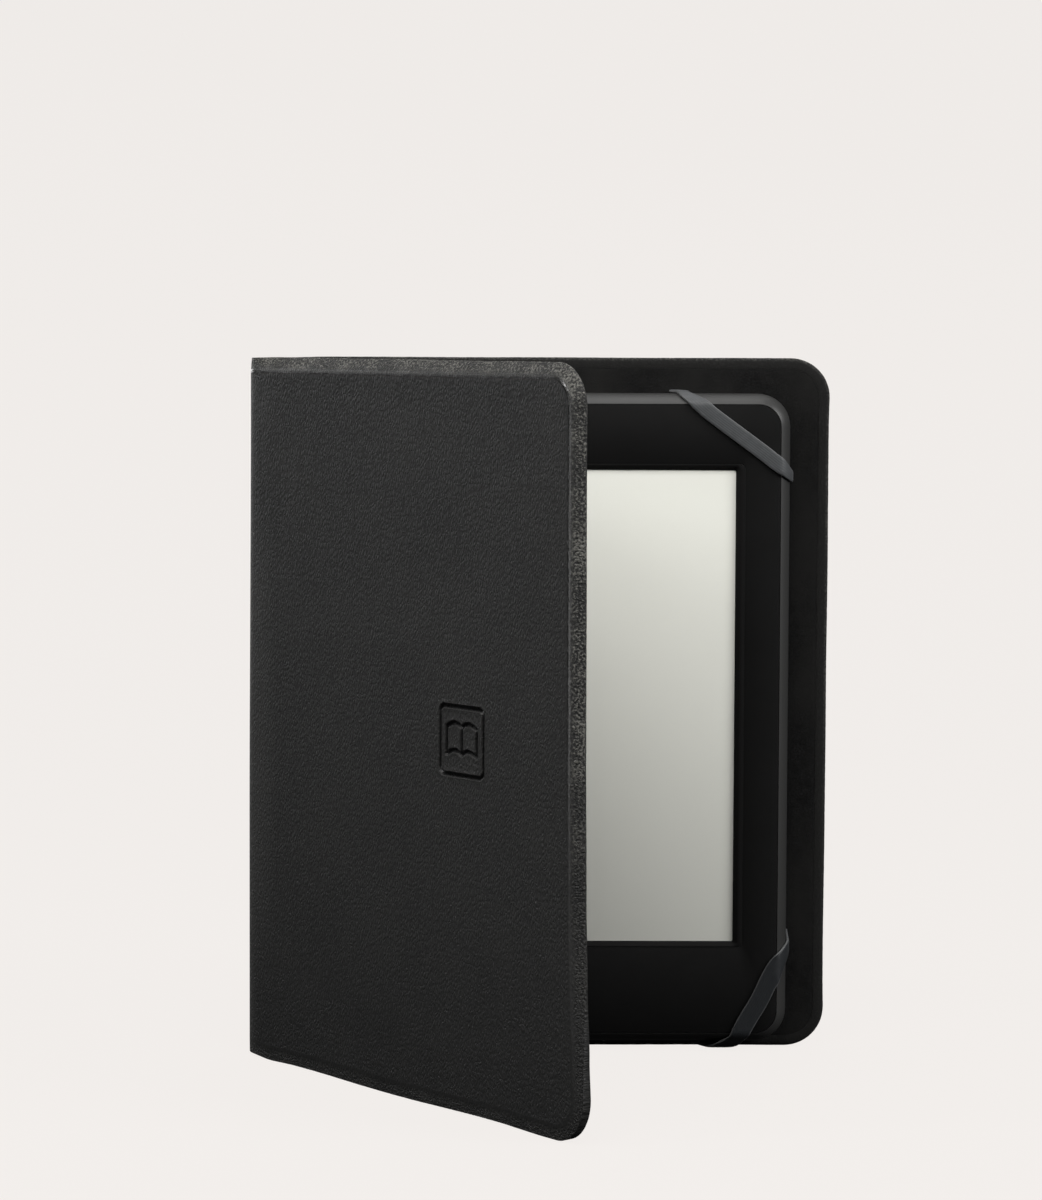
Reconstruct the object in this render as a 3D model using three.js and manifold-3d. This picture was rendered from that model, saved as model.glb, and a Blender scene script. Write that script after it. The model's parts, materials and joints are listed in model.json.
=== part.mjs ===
// A six-inch e-reader held by four elastic corner straps in a leather folio case that
// stands half open, like a book. Millimetres, +Z up, +Y towards the back of the case.
import * as THREE from 'three';
import { mergeVertices } from 'three/addons/utils/BufferGeometryUtils.js';
import Module from 'manifold-3d';

const wasm = await Module();
wasm.setup();

// ---------- driving dimensions ----------
const GAP = 0.3; // air left between pieces that touch on the real object

// folio: two stiff panels and a spine, joined by two soft folds
const CASE_H = 180.7;
const PANEL_W = 142; // fold axis to free edge
const SPINE_W = 18; // from one fold axis to the other
const OPEN_ANGLE = THREE.MathUtils.degToRad(54.4); // between the front cover and the back cover
const SKIN_T = 1;
const BOARD_T = 1.2;
const LINING_T = 0.6;
const CASE_R = 10.5; // free corners
const BEVEL_W = 4; // the skin slopes down to its free edges
const BEVEL_DROP = 2;
const HEM_W = 2.8; // leather turned in round the lining
const FOLD_REACH = 3.3; // soft leather each side of a fold axis
const SKIN_OUT = SKIN_T / 2; // the fold axes lie in the middle of the skin
const BOARD_OUT = -SKIN_OUT - GAP;
const LINING_OUT = BOARD_OUT - BOARD_T - GAP;
const PANEL_IN = LINING_OUT - LINING_T;

// e-reader, measured from the middle of its back face
const READER_W = 119;
const READER_H = 169;
const READER_T = 10.2;
const READER_R = 8.5;
const READER_X = 72.3; // its middle, from the rear fold axis
const READER_Z = 87.05; // its middle, above the case's lower edge
const READER_LIFT = 0.4; // air between its back and the lining
const RIM_W = 2.7;
const RIM_ROUND = 1.2;
const BACK_WALL = 1.5;
const CAVITY_X = READER_W / 2 - RIM_W;
const CAVITY_Z = READER_H / 2 - RIM_W;

// display, with its picture area in the bezel's window
const SCREEN_W = 90.6;
const SCREEN_H = 122.6;
const SCREEN_BOTTOM = -READER_H / 2 + 26.7;
const SCREEN_TOP = SCREEN_BOTTOM + SCREEN_H;
const PANEL_SIDE = 5.6; // glass outside the picture area
const PANEL_TOP = 4;
const PANEL_BOTTOM = 12;
const LENS_SIDE = 2.4; // infrared lens round the picture area
const LENS_END = 1.5;
const LENS_SUNK = 0.2; // below the bezel's face

// layers inside the reader, front faces counted from its back
const BOARD_FRONT = -4;
const CHASSIS_BACK = -5.9;
const CHASSIS_T = 0.8;
const DISPLAY_BACK = -7.6;
const DISPLAY_T = 1.1;
const BEZEL_BACK = -9;
const BEZEL_T = 1;

// straps
const STRAP_W = 4;
const STRAP_T = 0.7;

const LOWER_WALL = -READER_H / 2;
const CORNER_STEPS = 4;

// ---------- geometry helpers ----------
function toManifold(geometry) {
  const bare = geometry.clone();
  bare.deleteAttribute('normal');
  bare.deleteAttribute('uv');
  const merged = mergeVertices(bare, 1e-4);
  return new wasm.Manifold(new wasm.Mesh({
    numProp: 3,
    vertProperties: new Float32Array(merged.attributes.position.array),
    triVerts: new Uint32Array(merged.index.array),
  }));
}

function toGeometry(manifold) {
  const mesh = manifold.getMesh();
  const geometry = new THREE.BufferGeometry();
  geometry.setAttribute('position', new THREE.BufferAttribute(mesh.vertProperties, 3));
  geometry.setIndex(new THREE.BufferAttribute(mesh.triVerts, 1));
  return geometry;
}

function join(first, ...others) {
  return toGeometry(others.reduce((sum, part) => sum.add(toManifold(part)), toManifold(first)));
}

function cut(body, ...tools) {
  return toGeometry(tools.reduce((rest, tool) => rest.subtract(toManifold(tool)), toManifold(body)));
}

function keep(body, region) {
  return toGeometry(toManifold(body).intersect(toManifold(region)));
}

function block(x0, x1, y0, y1, z0, z1) {
  const box = new THREE.BoxGeometry(x1 - x0, y1 - y0, z1 - z0);
  return box.translate((x0 + x1) / 2, (y0 + y1) / 2, (z0 + z1) / 2);
}

function rounded(x0, x1, z0, z1, r) {
  const shape = new THREE.Shape();
  shape.absarc(x1 - r, z1 - r, r, 0, Math.PI / 2);
  shape.absarc(x0 + r, z1 - r, r, Math.PI / 2, Math.PI);
  shape.absarc(x0 + r, z0 + r, r, Math.PI, 1.5 * Math.PI);
  shape.absarc(x1 - r, z0 + r, r, 1.5 * Math.PI, 2 * Math.PI);
  return shape;
}

function polygon(...points) {
  return new THREE.Shape(points.map(([u, v]) => new THREE.Vector2(u, v)));
}

function extruded(shape, depth) {
  return new THREE.ExtrudeGeometry(shape, { depth, bevelEnabled: false, curveSegments: CORNER_STEPS });
}

// A flat piece that faces the reader: its outline is drawn in X and Z, and it runs from
// yFront back to yBack.
function plate(shape, yFront, yBack) {
  return extruded(shape, yBack - yFront).rotateX(Math.PI / 2).translate(0, yBack, 0);
}

// The same, with both faces' edges sloped or rounded back by size over drop.
function bevelledPlate(shape, yFront, yBack, size, drop, steps) {
  const flat = new THREE.ExtrudeGeometry(shape, {
    depth: yBack - yFront - 2 * drop,
    curveSegments: CORNER_STEPS,
    bevelSize: size,
    bevelOffset: -size,
    bevelThickness: drop,
    bevelSegments: steps,
  });
  return flat.rotateX(Math.PI / 2).translate(0, yBack - drop, 0);
}

// An outline drawn in X and Y, standing from z0 to z1.
function upright(shape, z0, z1) {
  return extruded(shape, z1 - z0).translate(0, 0, z0);
}

// An outline drawn in Y and Z, running from x0 to x1.
function alongX(shape, x0, x1) {
  const turn = new THREE.Matrix4().makeBasis(
    new THREE.Vector3(0, 1, 0),
    new THREE.Vector3(0, 0, 1),
    new THREE.Vector3(1, 0, 0),
  );
  return extruded(shape, x1 - x0).applyMatrix4(turn).translate(x0, 0, 0);
}

function rod(radius, yFront, yBack, x, z) {
  const cylinder = new THREE.CylinderGeometry(radius, radius, yBack - yFront, 16);
  return cylinder.translate(x, (yFront + yBack) / 2, z);
}

// ---------- materials ----------
function finish(color, roughness, metalness = 0) {
  return () => new THREE.MeshStandardMaterial({ color, roughness, metalness });
}

const leather = finish(0x2c2c2b, 0.7);
const card = finish(0x6d6257, 0.9);
const microfibre = finish(0x161616, 0.95);
const elastic = finish(0x363a40, 0.8);
const satinPlastic = finish(0x3f3f3e, 0.45);
const mattePlastic = finish(0x151515, 0.6);
const glossBlack = finish(0x101012, 0.25);
const paperWhite = finish(0xc2c3bb, 0.55);
const foam = finish(0x232323, 1);
const steel = finish(0x9a9ca0, 0.35, 1);
const greenBoard = finish(0x1f5b38, 0.5);
const chipBlack = finish(0x1a1b1d, 0.4);
const amberFilm = finish(0xa2661f, 0.4);
const silverPouch = finish(0xa9adb0, 0.4, 0.6);
const clearPlastic = finish(0xd9dde0, 0.2);

const reading = new THREE.Group();

function add(parent, name, geometry, material) {
  const mesh = new THREE.Mesh(geometry, material());
  mesh.name = name;
  parent.add(mesh);
}

// ---------- folio panels, in a frame with X from the fold axis and +Y outwards ----------
const RUN_OFF = 30; // outlines run past the fold side before they are cut there
const LAYER_START = FOLD_REACH + GAP / 2;

// span: how far the panel reaches. A panel's far side is a free edge, the spine's is a fold.
function panelOutline(span, hasFreeEdge, inset) {
  const far = hasFreeEdge ? span - inset : span + RUN_OFF;
  return rounded(-RUN_OFF, far, inset, CASE_H - inset, CASE_R - inset);
}

function panelLayer(span, hasFreeEdge, inset, yFront, yBack) {
  const far = hasFreeEdge ? span : span - LAYER_START;
  const slab = plate(panelOutline(span, hasFreeEdge, inset), yFront, yBack);
  return keep(slab, block(LAYER_START, far, yFront - 1, yBack + 1, 0, CASE_H));
}

function panelSkin(span, hasFreeEdge) {
  const far = hasFreeEdge ? span : span - LAYER_START;
  const outline = panelOutline(span, hasFreeEdge, 0);
  const spare = BEVEL_DROP + 1;
  const blank = bevelledPlate(outline, PANEL_IN - spare, SKIN_OUT, BEVEL_W, BEVEL_DROP, 2);
  const trimmed = keep(blank, block(LAYER_START, far, PANEL_IN, SKIN_OUT + 1, -1, CASE_H + 1));
  return cut(trimmed, plate(panelOutline(span, hasFreeEdge, HEM_W), PANEL_IN - 1, -SKIN_OUT));
}

function addPanel(parent, name, span, hasFreeEdge) {
  const inset = HEM_W + GAP;
  const board = panelLayer(span, hasFreeEdge, inset, BOARD_OUT - BOARD_T, BOARD_OUT);
  add(parent, `${name}_skin`, panelSkin(span, hasFreeEdge), leather);
  add(parent, `${name}_board`, board, card);
  add(parent, `${name}_lining`, panelLayer(span, hasFreeEdge, inset, PANEL_IN, LINING_OUT), microfibre);
}

// A soft fold: an arc that meets both neighbours squarely, FOLD_REACH from the axis.
const FOLD_BETWEEN = (Math.PI + OPEN_ANGLE) / 2; // angle left between the two panels it joins
const FOLD_R = FOLD_REACH * Math.tan(FOLD_BETWEEN / 2);
const FOLD_TURN = Math.PI - FOLD_BETWEEN;
const FOLD_END = 0.4; // the fold stops just short of the panels' top and bottom edges

function foldStrip(outer, inner) {
  const rOut = FOLD_R + outer;
  const rIn = FOLD_R + inner;
  const slack = GAP / 2 / rIn;
  const from = Math.PI / 2 + slack;
  const to = Math.PI / 2 + FOLD_TURN - slack;
  const shape = new THREE.Shape();
  shape.absarc(FOLD_REACH, -FOLD_R, rOut, from, to);
  shape.absarc(FOLD_REACH, -FOLD_R, rIn, to, from, true);
  return upright(shape, FOLD_END, CASE_H - FOLD_END);
}

function addFold(parent, name) {
  add(parent, `${name}_leather`, foldStrip(SKIN_OUT, -SKIN_OUT), leather);
  add(parent, `${name}_lining`, foldStrip(LINING_OUT, PANEL_IN), microfibre);
}

// From the rear fold axis, the spine runs to the front fold axis and the cover on from there.
const SPINE_DIRECTION = -FOLD_BETWEEN;
const COVER_DIRECTION = -OPEN_ANGLE;
const frontFoldAxis = new THREE.Vector3(
  SPINE_W * Math.cos(SPINE_DIRECTION),
  SPINE_W * Math.sin(SPINE_DIRECTION),
  0,
);

addPanel(reading, 'back_cover', PANEL_W, true);
addFold(reading, 'rear_fold');

const spine = new THREE.Group();
spine.rotation.z = SPINE_DIRECTION;
spine.scale.y = -1;
addPanel(spine, 'spine', SPINE_W, false);

const frontFold = new THREE.Group();
frontFold.position.copy(frontFoldAxis);
frontFold.rotation.z = Math.PI + SPINE_DIRECTION;
addFold(frontFold, 'front_fold');

const frontCover = new THREE.Group();
frontCover.position.copy(frontFoldAxis);
frontCover.rotation.z = COVER_DIRECTION;
frontCover.scale.y = -1;
addPanel(frontCover, 'front_cover', PANEL_W, true);
reading.add(spine, frontFold, frontCover);

// ---------- e-reader ----------
const reader = new THREE.Group();
reader.position.set(READER_X, PANEL_IN - READER_LIFT, READER_Z);
reading.add(reader);

function centred(halfX, halfZ, r) {
  return rounded(-halfX, halfX, -halfZ, halfZ, r);
}

// chassis screws go into tall bosses in the corners, board screws into low ones
const CHASSIS_SCREW_X = 52.5;
const CHASSIS_SCREW_Z = 78.6;
const CHASSIS_BOSS_TOP = CHASSIS_BACK + GAP;
const CHASSIS_BOSS_R = 2.4;
const CHASSIS_BORE_R = 1.2;
const chassisScrews = [[-1, -1], [1, -1], [-1, 1], [1, 1]].map(
  ([sx, sz]) => [sx * CHASSIS_SCREW_X, sz * CHASSIS_SCREW_Z],
);
const boardScrews = [[-46, -45.5], [33, -45.5], [-16, -76.5]];
const PCB_T = 0.8;
const BOARD_BOSS_TOP = BOARD_FRONT + PCB_T + GAP;
const BOARD_BOSS_R = 2.2;
const BOARD_BORE_R = 1;

// sockets and controls on the lower edge
const USB_X = -6;
const USB_Y = BOARD_FRONT + PCB_T / 2;
const USB_W = 7.5;
const USB_T = 2.6;
const LIGHT_X = 4;
const LIGHT_R = 0.8;
const BUTTON_X = 16;
const BUTTON_Y = -4.8;
const BUTTON_W = 9;
const BUTTON_T = 2.4;
const BUTTON_PROUD = 0.4;
const WALL_IN = LOWER_WALL + RIM_W;

// two ribs stiffen the back above the battery
const RIB_T = 1.2;
const RIB_X = 48;
const ribHeights = [42, 62];
const ROOTED = -1; // bosses and ribs start inside the back wall

function capsule(width, thickness) {
  const r = thickness / 2;
  const shape = new THREE.Shape();
  shape.absarc(width / 2 - r, 0, r, -Math.PI / 2, Math.PI / 2);
  shape.absarc(r - width / 2, 0, r, Math.PI / 2, 1.5 * Math.PI);
  return shape;
}

function rearHousing() {
  const outline = centred(READER_W / 2, READER_H / 2, READER_R);
  const shell = bevelledPlate(outline, -READER_T, 0, RIM_ROUND, RIM_ROUND, 2);
  const pocket = plate(centred(CAVITY_X, CAVITY_Z, READER_R - RIM_W), -READER_T - 1, -BACK_WALL);
  const tall = chassisScrews.map(([x, z]) => rod(CHASSIS_BOSS_R, CHASSIS_BOSS_TOP, ROOTED, x, z));
  const low = boardScrews.map(([x, z]) => rod(BOARD_BOSS_R, BOARD_BOSS_TOP, ROOTED, x, z));
  const ribs = ribHeights.map((z) => block(-RIB_X, RIB_X, CHASSIS_BOSS_TOP, ROOTED, z, z + RIB_T));
  const body = join(cut(shell, pocket), ...tall, ...low, ...ribs);
  const tallBores = chassisScrews.map(([x, z]) => rod(CHASSIS_BORE_R, -READER_T, -BACK_WALL, x, z));
  const lowBores = boardScrews.map(([x, z]) => rod(BOARD_BORE_R, -READER_T, -BACK_WALL, x, z));
  const usb = block(
    USB_X - USB_W / 2 - GAP, USB_X + USB_W / 2 + GAP,
    USB_Y - USB_T / 2 - GAP, USB_Y + USB_T / 2 + GAP,
    LOWER_WALL - 1, WALL_IN + 1,
  );
  const slotShape = capsule(BUTTON_W + 2 * GAP, BUTTON_T + 2 * GAP);
  const slot = upright(slotShape, LOWER_WALL - 1, WALL_IN + 1).translate(BUTTON_X, BUTTON_Y, 0);
  const light = new THREE.CylinderGeometry(LIGHT_R + GAP, LIGHT_R + GAP, RIM_W + 2, 16);
  light.rotateX(Math.PI / 2).translate(LIGHT_X, BUTTON_Y, LOWER_WALL + RIM_W / 2);
  return cut(body, ...tallBores, ...lowBores, usb, slot, light);
}

function frame(outer, inner, yFront, yBack) {
  return cut(plate(outer, yFront, yBack), plate(inner, yFront - 1, yBack + 1));
}

function screenOutline(side, end, r) {
  return rounded(-SCREEN_W / 2 - side, SCREEN_W / 2 + side, SCREEN_BOTTOM - end, SCREEN_TOP + end, r);
}

add(reader, 'rear_housing', rearHousing(), satinPlastic);
add(
  reader,
  'front_bezel',
  frame(
    centred(CAVITY_X - GAP, CAVITY_Z - GAP, READER_R - RIM_W - GAP),
    screenOutline(LENS_SIDE + GAP, LENS_END + GAP, 1.5),
    BEZEL_BACK - BEZEL_T,
    BEZEL_BACK,
  ),
  mattePlastic,
);
add(
  reader,
  'infrared_lens_frame',
  frame(
    screenOutline(LENS_SIDE, LENS_END, 1.2),
    screenOutline(0, 0, 0.3),
    BEZEL_BACK - BEZEL_T + LENS_SUNK,
    BEZEL_BACK,
  ),
  glossBlack,
);

const GLASS_X = SCREEN_W / 2 + PANEL_SIDE;
const GLASS_BOTTOM = SCREEN_BOTTOM - PANEL_BOTTOM;
const GLASS_TOP = SCREEN_TOP + PANEL_TOP;
const glass = block(-GLASS_X, GLASS_X, DISPLAY_BACK - DISPLAY_T, DISPLAY_BACK, GLASS_BOTTOM, GLASS_TOP);
add(reader, 'epaper_panel', glass, paperWhite);

const TOUCH_W = 5; // strip of infrared emitters and receivers round the glass
const TOUCH_T = 0.8;
const touchOuter = rounded(
  -GLASS_X - GAP - TOUCH_W, GLASS_X + GAP + TOUCH_W,
  GLASS_BOTTOM - GAP - TOUCH_W, GLASS_TOP + GAP + TOUCH_W, 1,
);
const touchInner = rounded(-GLASS_X - GAP, GLASS_X + GAP, GLASS_BOTTOM - GAP, GLASS_TOP + GAP, 0.5);
const touchBoard = frame(touchOuter, touchInner, DISPLAY_BACK - TOUCH_T, DISPLAY_BACK);
add(reader, 'infrared_touch_board', touchBoard, greenBoard);

// The foam lies on the chassis plate, just inside the glass, and leaves room for the ribbons.
const CHASSIS_FRONT = CHASSIS_BACK - CHASSIS_T;
const FOAM_INSET = 1;
const FOAM_LOW = 8;
const FOAM_W = 4;

function foamOutline(grow) {
  const side = GLASS_X - FOAM_INSET - grow;
  return rounded(-side, side, GLASS_BOTTOM + FOAM_LOW + grow, GLASS_TOP - FOAM_INSET - grow, 1);
}

const foamFrame = frame(foamOutline(0), foamOutline(FOAM_W), CHASSIS_FRONT - 2 * GAP, CHASSIS_FRONT - GAP);
add(reader, 'display_foam_frame', foamFrame, foam);

// The chassis plate's lower edge is cut away for the ribbons and the button, and two windows
// above the battery make it lighter.
const CHASSIS_MARGIN = 0.8;
const CHASSIS_HOLE_R = 1.3;
const CHASSIS_NOTCH_X = 46;
const CHASSIS_NOTCH_TOP = -72;
const WINDOW_X = 24;
const WINDOW_HALF_W = 16;
const WINDOW_LOW = 36;
const WINDOW_HIGH = 60;

function chassisPlate() {
  const halfX = CAVITY_X - CHASSIS_MARGIN;
  const halfZ = CAVITY_Z - CHASSIS_MARGIN;
  const sheet = plate(centred(halfX, halfZ, READER_R - RIM_W - CHASSIS_MARGIN), CHASSIS_FRONT, CHASSIS_BACK);
  const before = CHASSIS_FRONT - 1;
  const behind = CHASSIS_BACK + 1;
  const notch = block(-CHASSIS_NOTCH_X, CHASSIS_NOTCH_X, before, behind, -READER_H, CHASSIS_NOTCH_TOP);
  const holes = chassisScrews.map(([x, z]) => rod(CHASSIS_HOLE_R, before, behind, x, z));
  const windows = [-WINDOW_X, WINDOW_X].map((x) => {
    const outline = rounded(x - WINDOW_HALF_W, x + WINDOW_HALF_W, WINDOW_LOW, WINDOW_HIGH, 2);
    return plate(outline, before, behind);
  });
  return cut(sheet, notch, ...holes, ...windows);
}
add(reader, 'chassis_plate', chassisPlate(), steel);

// A pan-head screw whose shank points to the back. Its tip stops short of the bore's floor.
function screw(headR, headT, shankR, length) {
  const profile = [
    [0, -headT],
    [headR * 0.8, -headT],
    [headR, -headT * 0.6],
    [headR, 0],
    [shankR, 0],
    [shankR, length],
    [0, length],
  ];
  return new THREE.LatheGeometry(profile.map(([r, y]) => new THREE.Vector2(r, y)), 16);
}

chassisScrews.forEach(([x, z], i) => {
  const turned = screw(1.9, 0.7, 0.9, 4);
  add(reader, `chassis_screw_${i + 1}`, turned.translate(x, CHASSIS_FRONT - GAP, z), steel);
});
boardScrews.forEach(([x, z], i) => {
  const turned = screw(1.6, 0.6, 0.7, 2.2);
  add(reader, `board_screw_${i + 1}`, turned.translate(x, BOARD_FRONT - GAP, z), steel);
});

// ---------- main board and what is soldered to it ----------
const BOARD_LEFT = -49.5;
const BOARD_RIGHT = 37;
const BOARD_LOW = -79.6;
const BOARD_HIGH = -42;
const BOARD_BACK = BOARD_FRONT + PCB_T;
const USB_INNER = LOWER_WALL + 6.2;

function mainBoard() {
  const sheet = plate(rounded(BOARD_LEFT, BOARD_RIGHT, BOARD_LOW, BOARD_HIGH, 1.5), BOARD_FRONT, BOARD_BACK);
  const before = BOARD_FRONT - 1;
  const behind = BOARD_BACK + 1;
  const holes = boardScrews.map(([x, z]) => rod(BOARD_BORE_R, before, behind, x, z));
  const reach = USB_W / 2 + GAP;
  const usbBay = block(USB_X - reach, USB_X + reach, before, behind, -READER_H, USB_INNER + GAP);
  return cut(sheet, usbBay, ...holes);
}
add(reader, 'main_board', mainBoard(), greenBoard);

// A component on the board's front face, given by its middle and its size.
function onBoard(name, x, z, width, height, thickness, material) {
  const back = BOARD_FRONT - GAP;
  const body = block(x - width / 2, x + width / 2, back - thickness, back, z - height / 2, z + height / 2);
  add(reader, name, body, material);
}

const FLEX_END = -71.5;
const DISPLAY_FLEX_X = -32;
const DISPLAY_FLEX_W = 24;
const TOUCH_FLEX_X = 26;
const TOUCH_FLEX_W = 8;
const PLUG_DEPTH = 2.6;
onBoard('processor_shield', -30, -55, 20, 18, 1.2, steel);
onBoard('memory_chip', -8, -54, 11.5, 13, 1, chipBlack);
onBoard('power_chip', 8, -52, 6, 6, 0.9, chipBlack);
onBoard('wifi_module', 22, -55, 12, 13, 1.2, steel);
onBoard('battery_connector', 8, BOARD_HIGH - 2.5, 7, 3.5, 1.1, paperWhite);
onBoard('display_connector', DISPLAY_FLEX_X, FLEX_END + GAP + PLUG_DEPTH / 2, 27, PLUG_DEPTH, 1, paperWhite);
onBoard('touch_connector', TOUCH_FLEX_X, FLEX_END + GAP + PLUG_DEPTH / 2, 10, PLUG_DEPTH, 1, paperWhite);
onBoard('power_switch', BUTTON_X, -78.9, 4, 2.4, 1.3, steel);

// A block round the socket's own middle line.
function usbBlock(halfW, halfT, z0, z1) {
  return block(USB_X - halfW, USB_X + halfW, USB_Y - halfT, USB_Y + halfT, z0, z1);
}

function usbPort() {
  const shellT = 0.35;
  const mouth = LOWER_WALL + 0.9;
  const can = usbBlock(USB_W / 2, USB_T / 2, mouth, USB_INNER);
  const cavity = usbBlock(USB_W / 2 - shellT, USB_T / 2 - shellT, mouth - 1, USB_INNER - shellT);
  const tongue = usbBlock(2.4, 0.3, mouth + 0.8, USB_INNER - shellT / 2);
  return join(cut(can, cavity), tongue);
}
add(reader, 'usb_port', usbPort(), steel);

// The button's cap stands just proud of the lower edge, and its flange stops it falling out.
const FLANGE_T = 0.6;

function powerButton() {
  const flangeLow = WALL_IN + GAP;
  const cap = upright(capsule(BUTTON_W, BUTTON_T), LOWER_WALL - BUTTON_PROUD, flangeLow + 0.1);
  const flange = upright(capsule(BUTTON_W + 2, BUTTON_T + 1), flangeLow, flangeLow + FLANGE_T);
  return join(cap, flange).translate(BUTTON_X, BUTTON_Y, 0);
}
add(reader, 'power_button', powerButton(), satinPlastic);

const pipe = new THREE.CylinderGeometry(LIGHT_R, LIGHT_R, 4, 16).rotateX(Math.PI / 2);
add(reader, 'status_light_pipe', pipe.translate(LIGHT_X, BUTTON_Y, LOWER_WALL + 2.2), clearPlastic);

add(reader, 'wifi_antenna', plate(rounded(38, 50, -72, -46, 1), BOARD_FRONT, BOARD_FRONT + 0.4), amberFilm);

// ---------- battery, and the ribbons that join display and touch strip to the board ----------
const BATTERY_X = 39;
const BATTERY_LOW = -34;
const BATTERY_HIGH = 28;
const BATTERY_FRONT = -5;
const BATTERY_BACK = -2;
const POUCH_EDGE = 0.8;
const pouchOutline = rounded(-BATTERY_X, BATTERY_X, BATTERY_LOW, BATTERY_HIGH, 2);
const pouch = bevelledPlate(pouchOutline, BATTERY_FRONT, BATTERY_BACK, POUCH_EDGE, POUCH_EDGE, 1);
add(reader, 'battery_pack', pouch, silverPouch);

const LEAD_X = 8;
const LEAD_Y = -4.7;
const LEAD_W = 5;
const LEAD_T = 0.4;
const LEAD_LOW = BOARD_HIGH - 0.45;
const lead = block(
  LEAD_X - LEAD_W / 2, LEAD_X + LEAD_W / 2,
  LEAD_Y - LEAD_T / 2, LEAD_Y + LEAD_T / 2,
  LEAD_LOW, BATTERY_LOW - GAP,
);
add(reader, 'battery_lead', lead, amberFilm);

// A ribbon that comes down behind the glass, turns back under the chassis and runs up to its
// connector.
function ribbon(x, width, start) {
  const thickness = 0.2;
  const front = CHASSIS_FRONT - GAP - thickness;
  const back = BOARD_FRONT - GAP - 0.4;
  const bendZ = -73.4;
  const middle = (front + back) / 2;
  const outerR = (back - front) / 2;
  const innerR = outerR - thickness;
  const shape = new THREE.Shape();
  shape.moveTo(front, start);
  shape.lineTo(front, bendZ);
  shape.absarc(middle, bendZ, outerR, Math.PI, 2 * Math.PI);
  shape.lineTo(back, FLEX_END);
  shape.lineTo(back - thickness, FLEX_END);
  shape.absarc(middle, bendZ, innerR, 2 * Math.PI, Math.PI, true);
  shape.lineTo(front + thickness, start);
  return alongX(shape, x - width / 2, x + width / 2);
}
add(reader, 'display_flex', ribbon(DISPLAY_FLEX_X, DISPLAY_FLEX_W, GLASS_BOTTOM + 5), amberFilm);
add(reader, 'touch_flex', ribbon(TOUCH_FLEX_X, TOUCH_FLEX_W, GLASS_BOTTOM + 1), amberFilm);

// ---------- corner straps ----------
// Built for the corner at +X and +Z. across and down say where the strap's middle line crosses
// the reader's upper and right edges, counted from the corner. It lies flat over the front, and
// goes back round both edges at the same slant to the lining.
function cornerStrap(across, down) {
  const length = Math.hypot(across, down);
  const reach = (across * down) / length;
  const out = GAP + STRAP_T;
  const cornerX = READER_W / 2;
  const cornerZ = READER_H / 2;
  const onTop = (side) => ((reach + side + (out * across) / length) * length) / down;
  const onSide = (side) => ((reach + side + (out * down) / length) * length) / across;
  const near = -STRAP_W / 2;
  const far = STRAP_W / 2;
  const frontFace = -READER_T - out;
  const backEnd = READER_LIFT - GAP;
  const depth = backEnd - frontFace;
  const topDrift = (depth * across) / down;
  const sideDrift = (depth * down) / across;
  const over = plate(
    polygon(
      [cornerX - onTop(far), cornerZ + out],
      [cornerX + out, cornerZ - onSide(far)],
      [cornerX + out, cornerZ - onSide(near)],
      [cornerX - onTop(near), cornerZ + out],
    ),
    frontFace,
    frontFace + STRAP_T,
  );
  const topLeg = upright(
    polygon(
      [cornerX - onTop(near), frontFace],
      [cornerX - onTop(near) - topDrift, backEnd],
      [cornerX - onTop(far) - topDrift, backEnd],
      [cornerX - onTop(far), frontFace],
    ),
    cornerZ + GAP,
    cornerZ + out,
  );
  const sideLeg = alongX(
    polygon(
      [frontFace, cornerZ - onSide(far)],
      [backEnd, cornerZ - onSide(far) - sideDrift],
      [backEnd, cornerZ - onSide(near) - sideDrift],
      [frontFace, cornerZ - onSide(near)],
    ),
    cornerX + GAP,
    cornerX + out,
  );
  return join(over, topLeg, sideLeg);
}

const straps = [
  ['strap_top_right', 1, 1, 27.7, 21.2],
  ['strap_top_left', -1, 1, 27.7, 21.2],
  ['strap_bottom_right', 1, -1, 15.4, 21.5],
  ['strap_bottom_left', -1, -1, 15.4, 21.5],
];
straps.forEach(([name, sideX, sideZ, across, down]) => {
  const corner = new THREE.Group();
  corner.scale.set(sideX, 1, sideZ);
  reader.add(corner);
  add(corner, name, cornerStrap(across, down), elastic);
});

// ---------- origin: under the middle of the whole object ----------
const group = new THREE.Group();
group.add(reading);
group.updateMatrixWorld(true);
const extent = new THREE.Box3().setFromObject(reading, true);
const middle = extent.getCenter(new THREE.Vector3());
reading.position.set(-middle.x, -middle.y, -extent.min.z);

export default group;
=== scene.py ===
"""An e-reader in a half-open leather folio case: the visible surfaces and materials round the CAD frame."""

import json
from math import atan2, copysign, cos, dist, hypot, pi, radians, sin, tan

import bmesh
import bpy
import numpy as np
from mathutils import Matrix, Vector, noise

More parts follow.
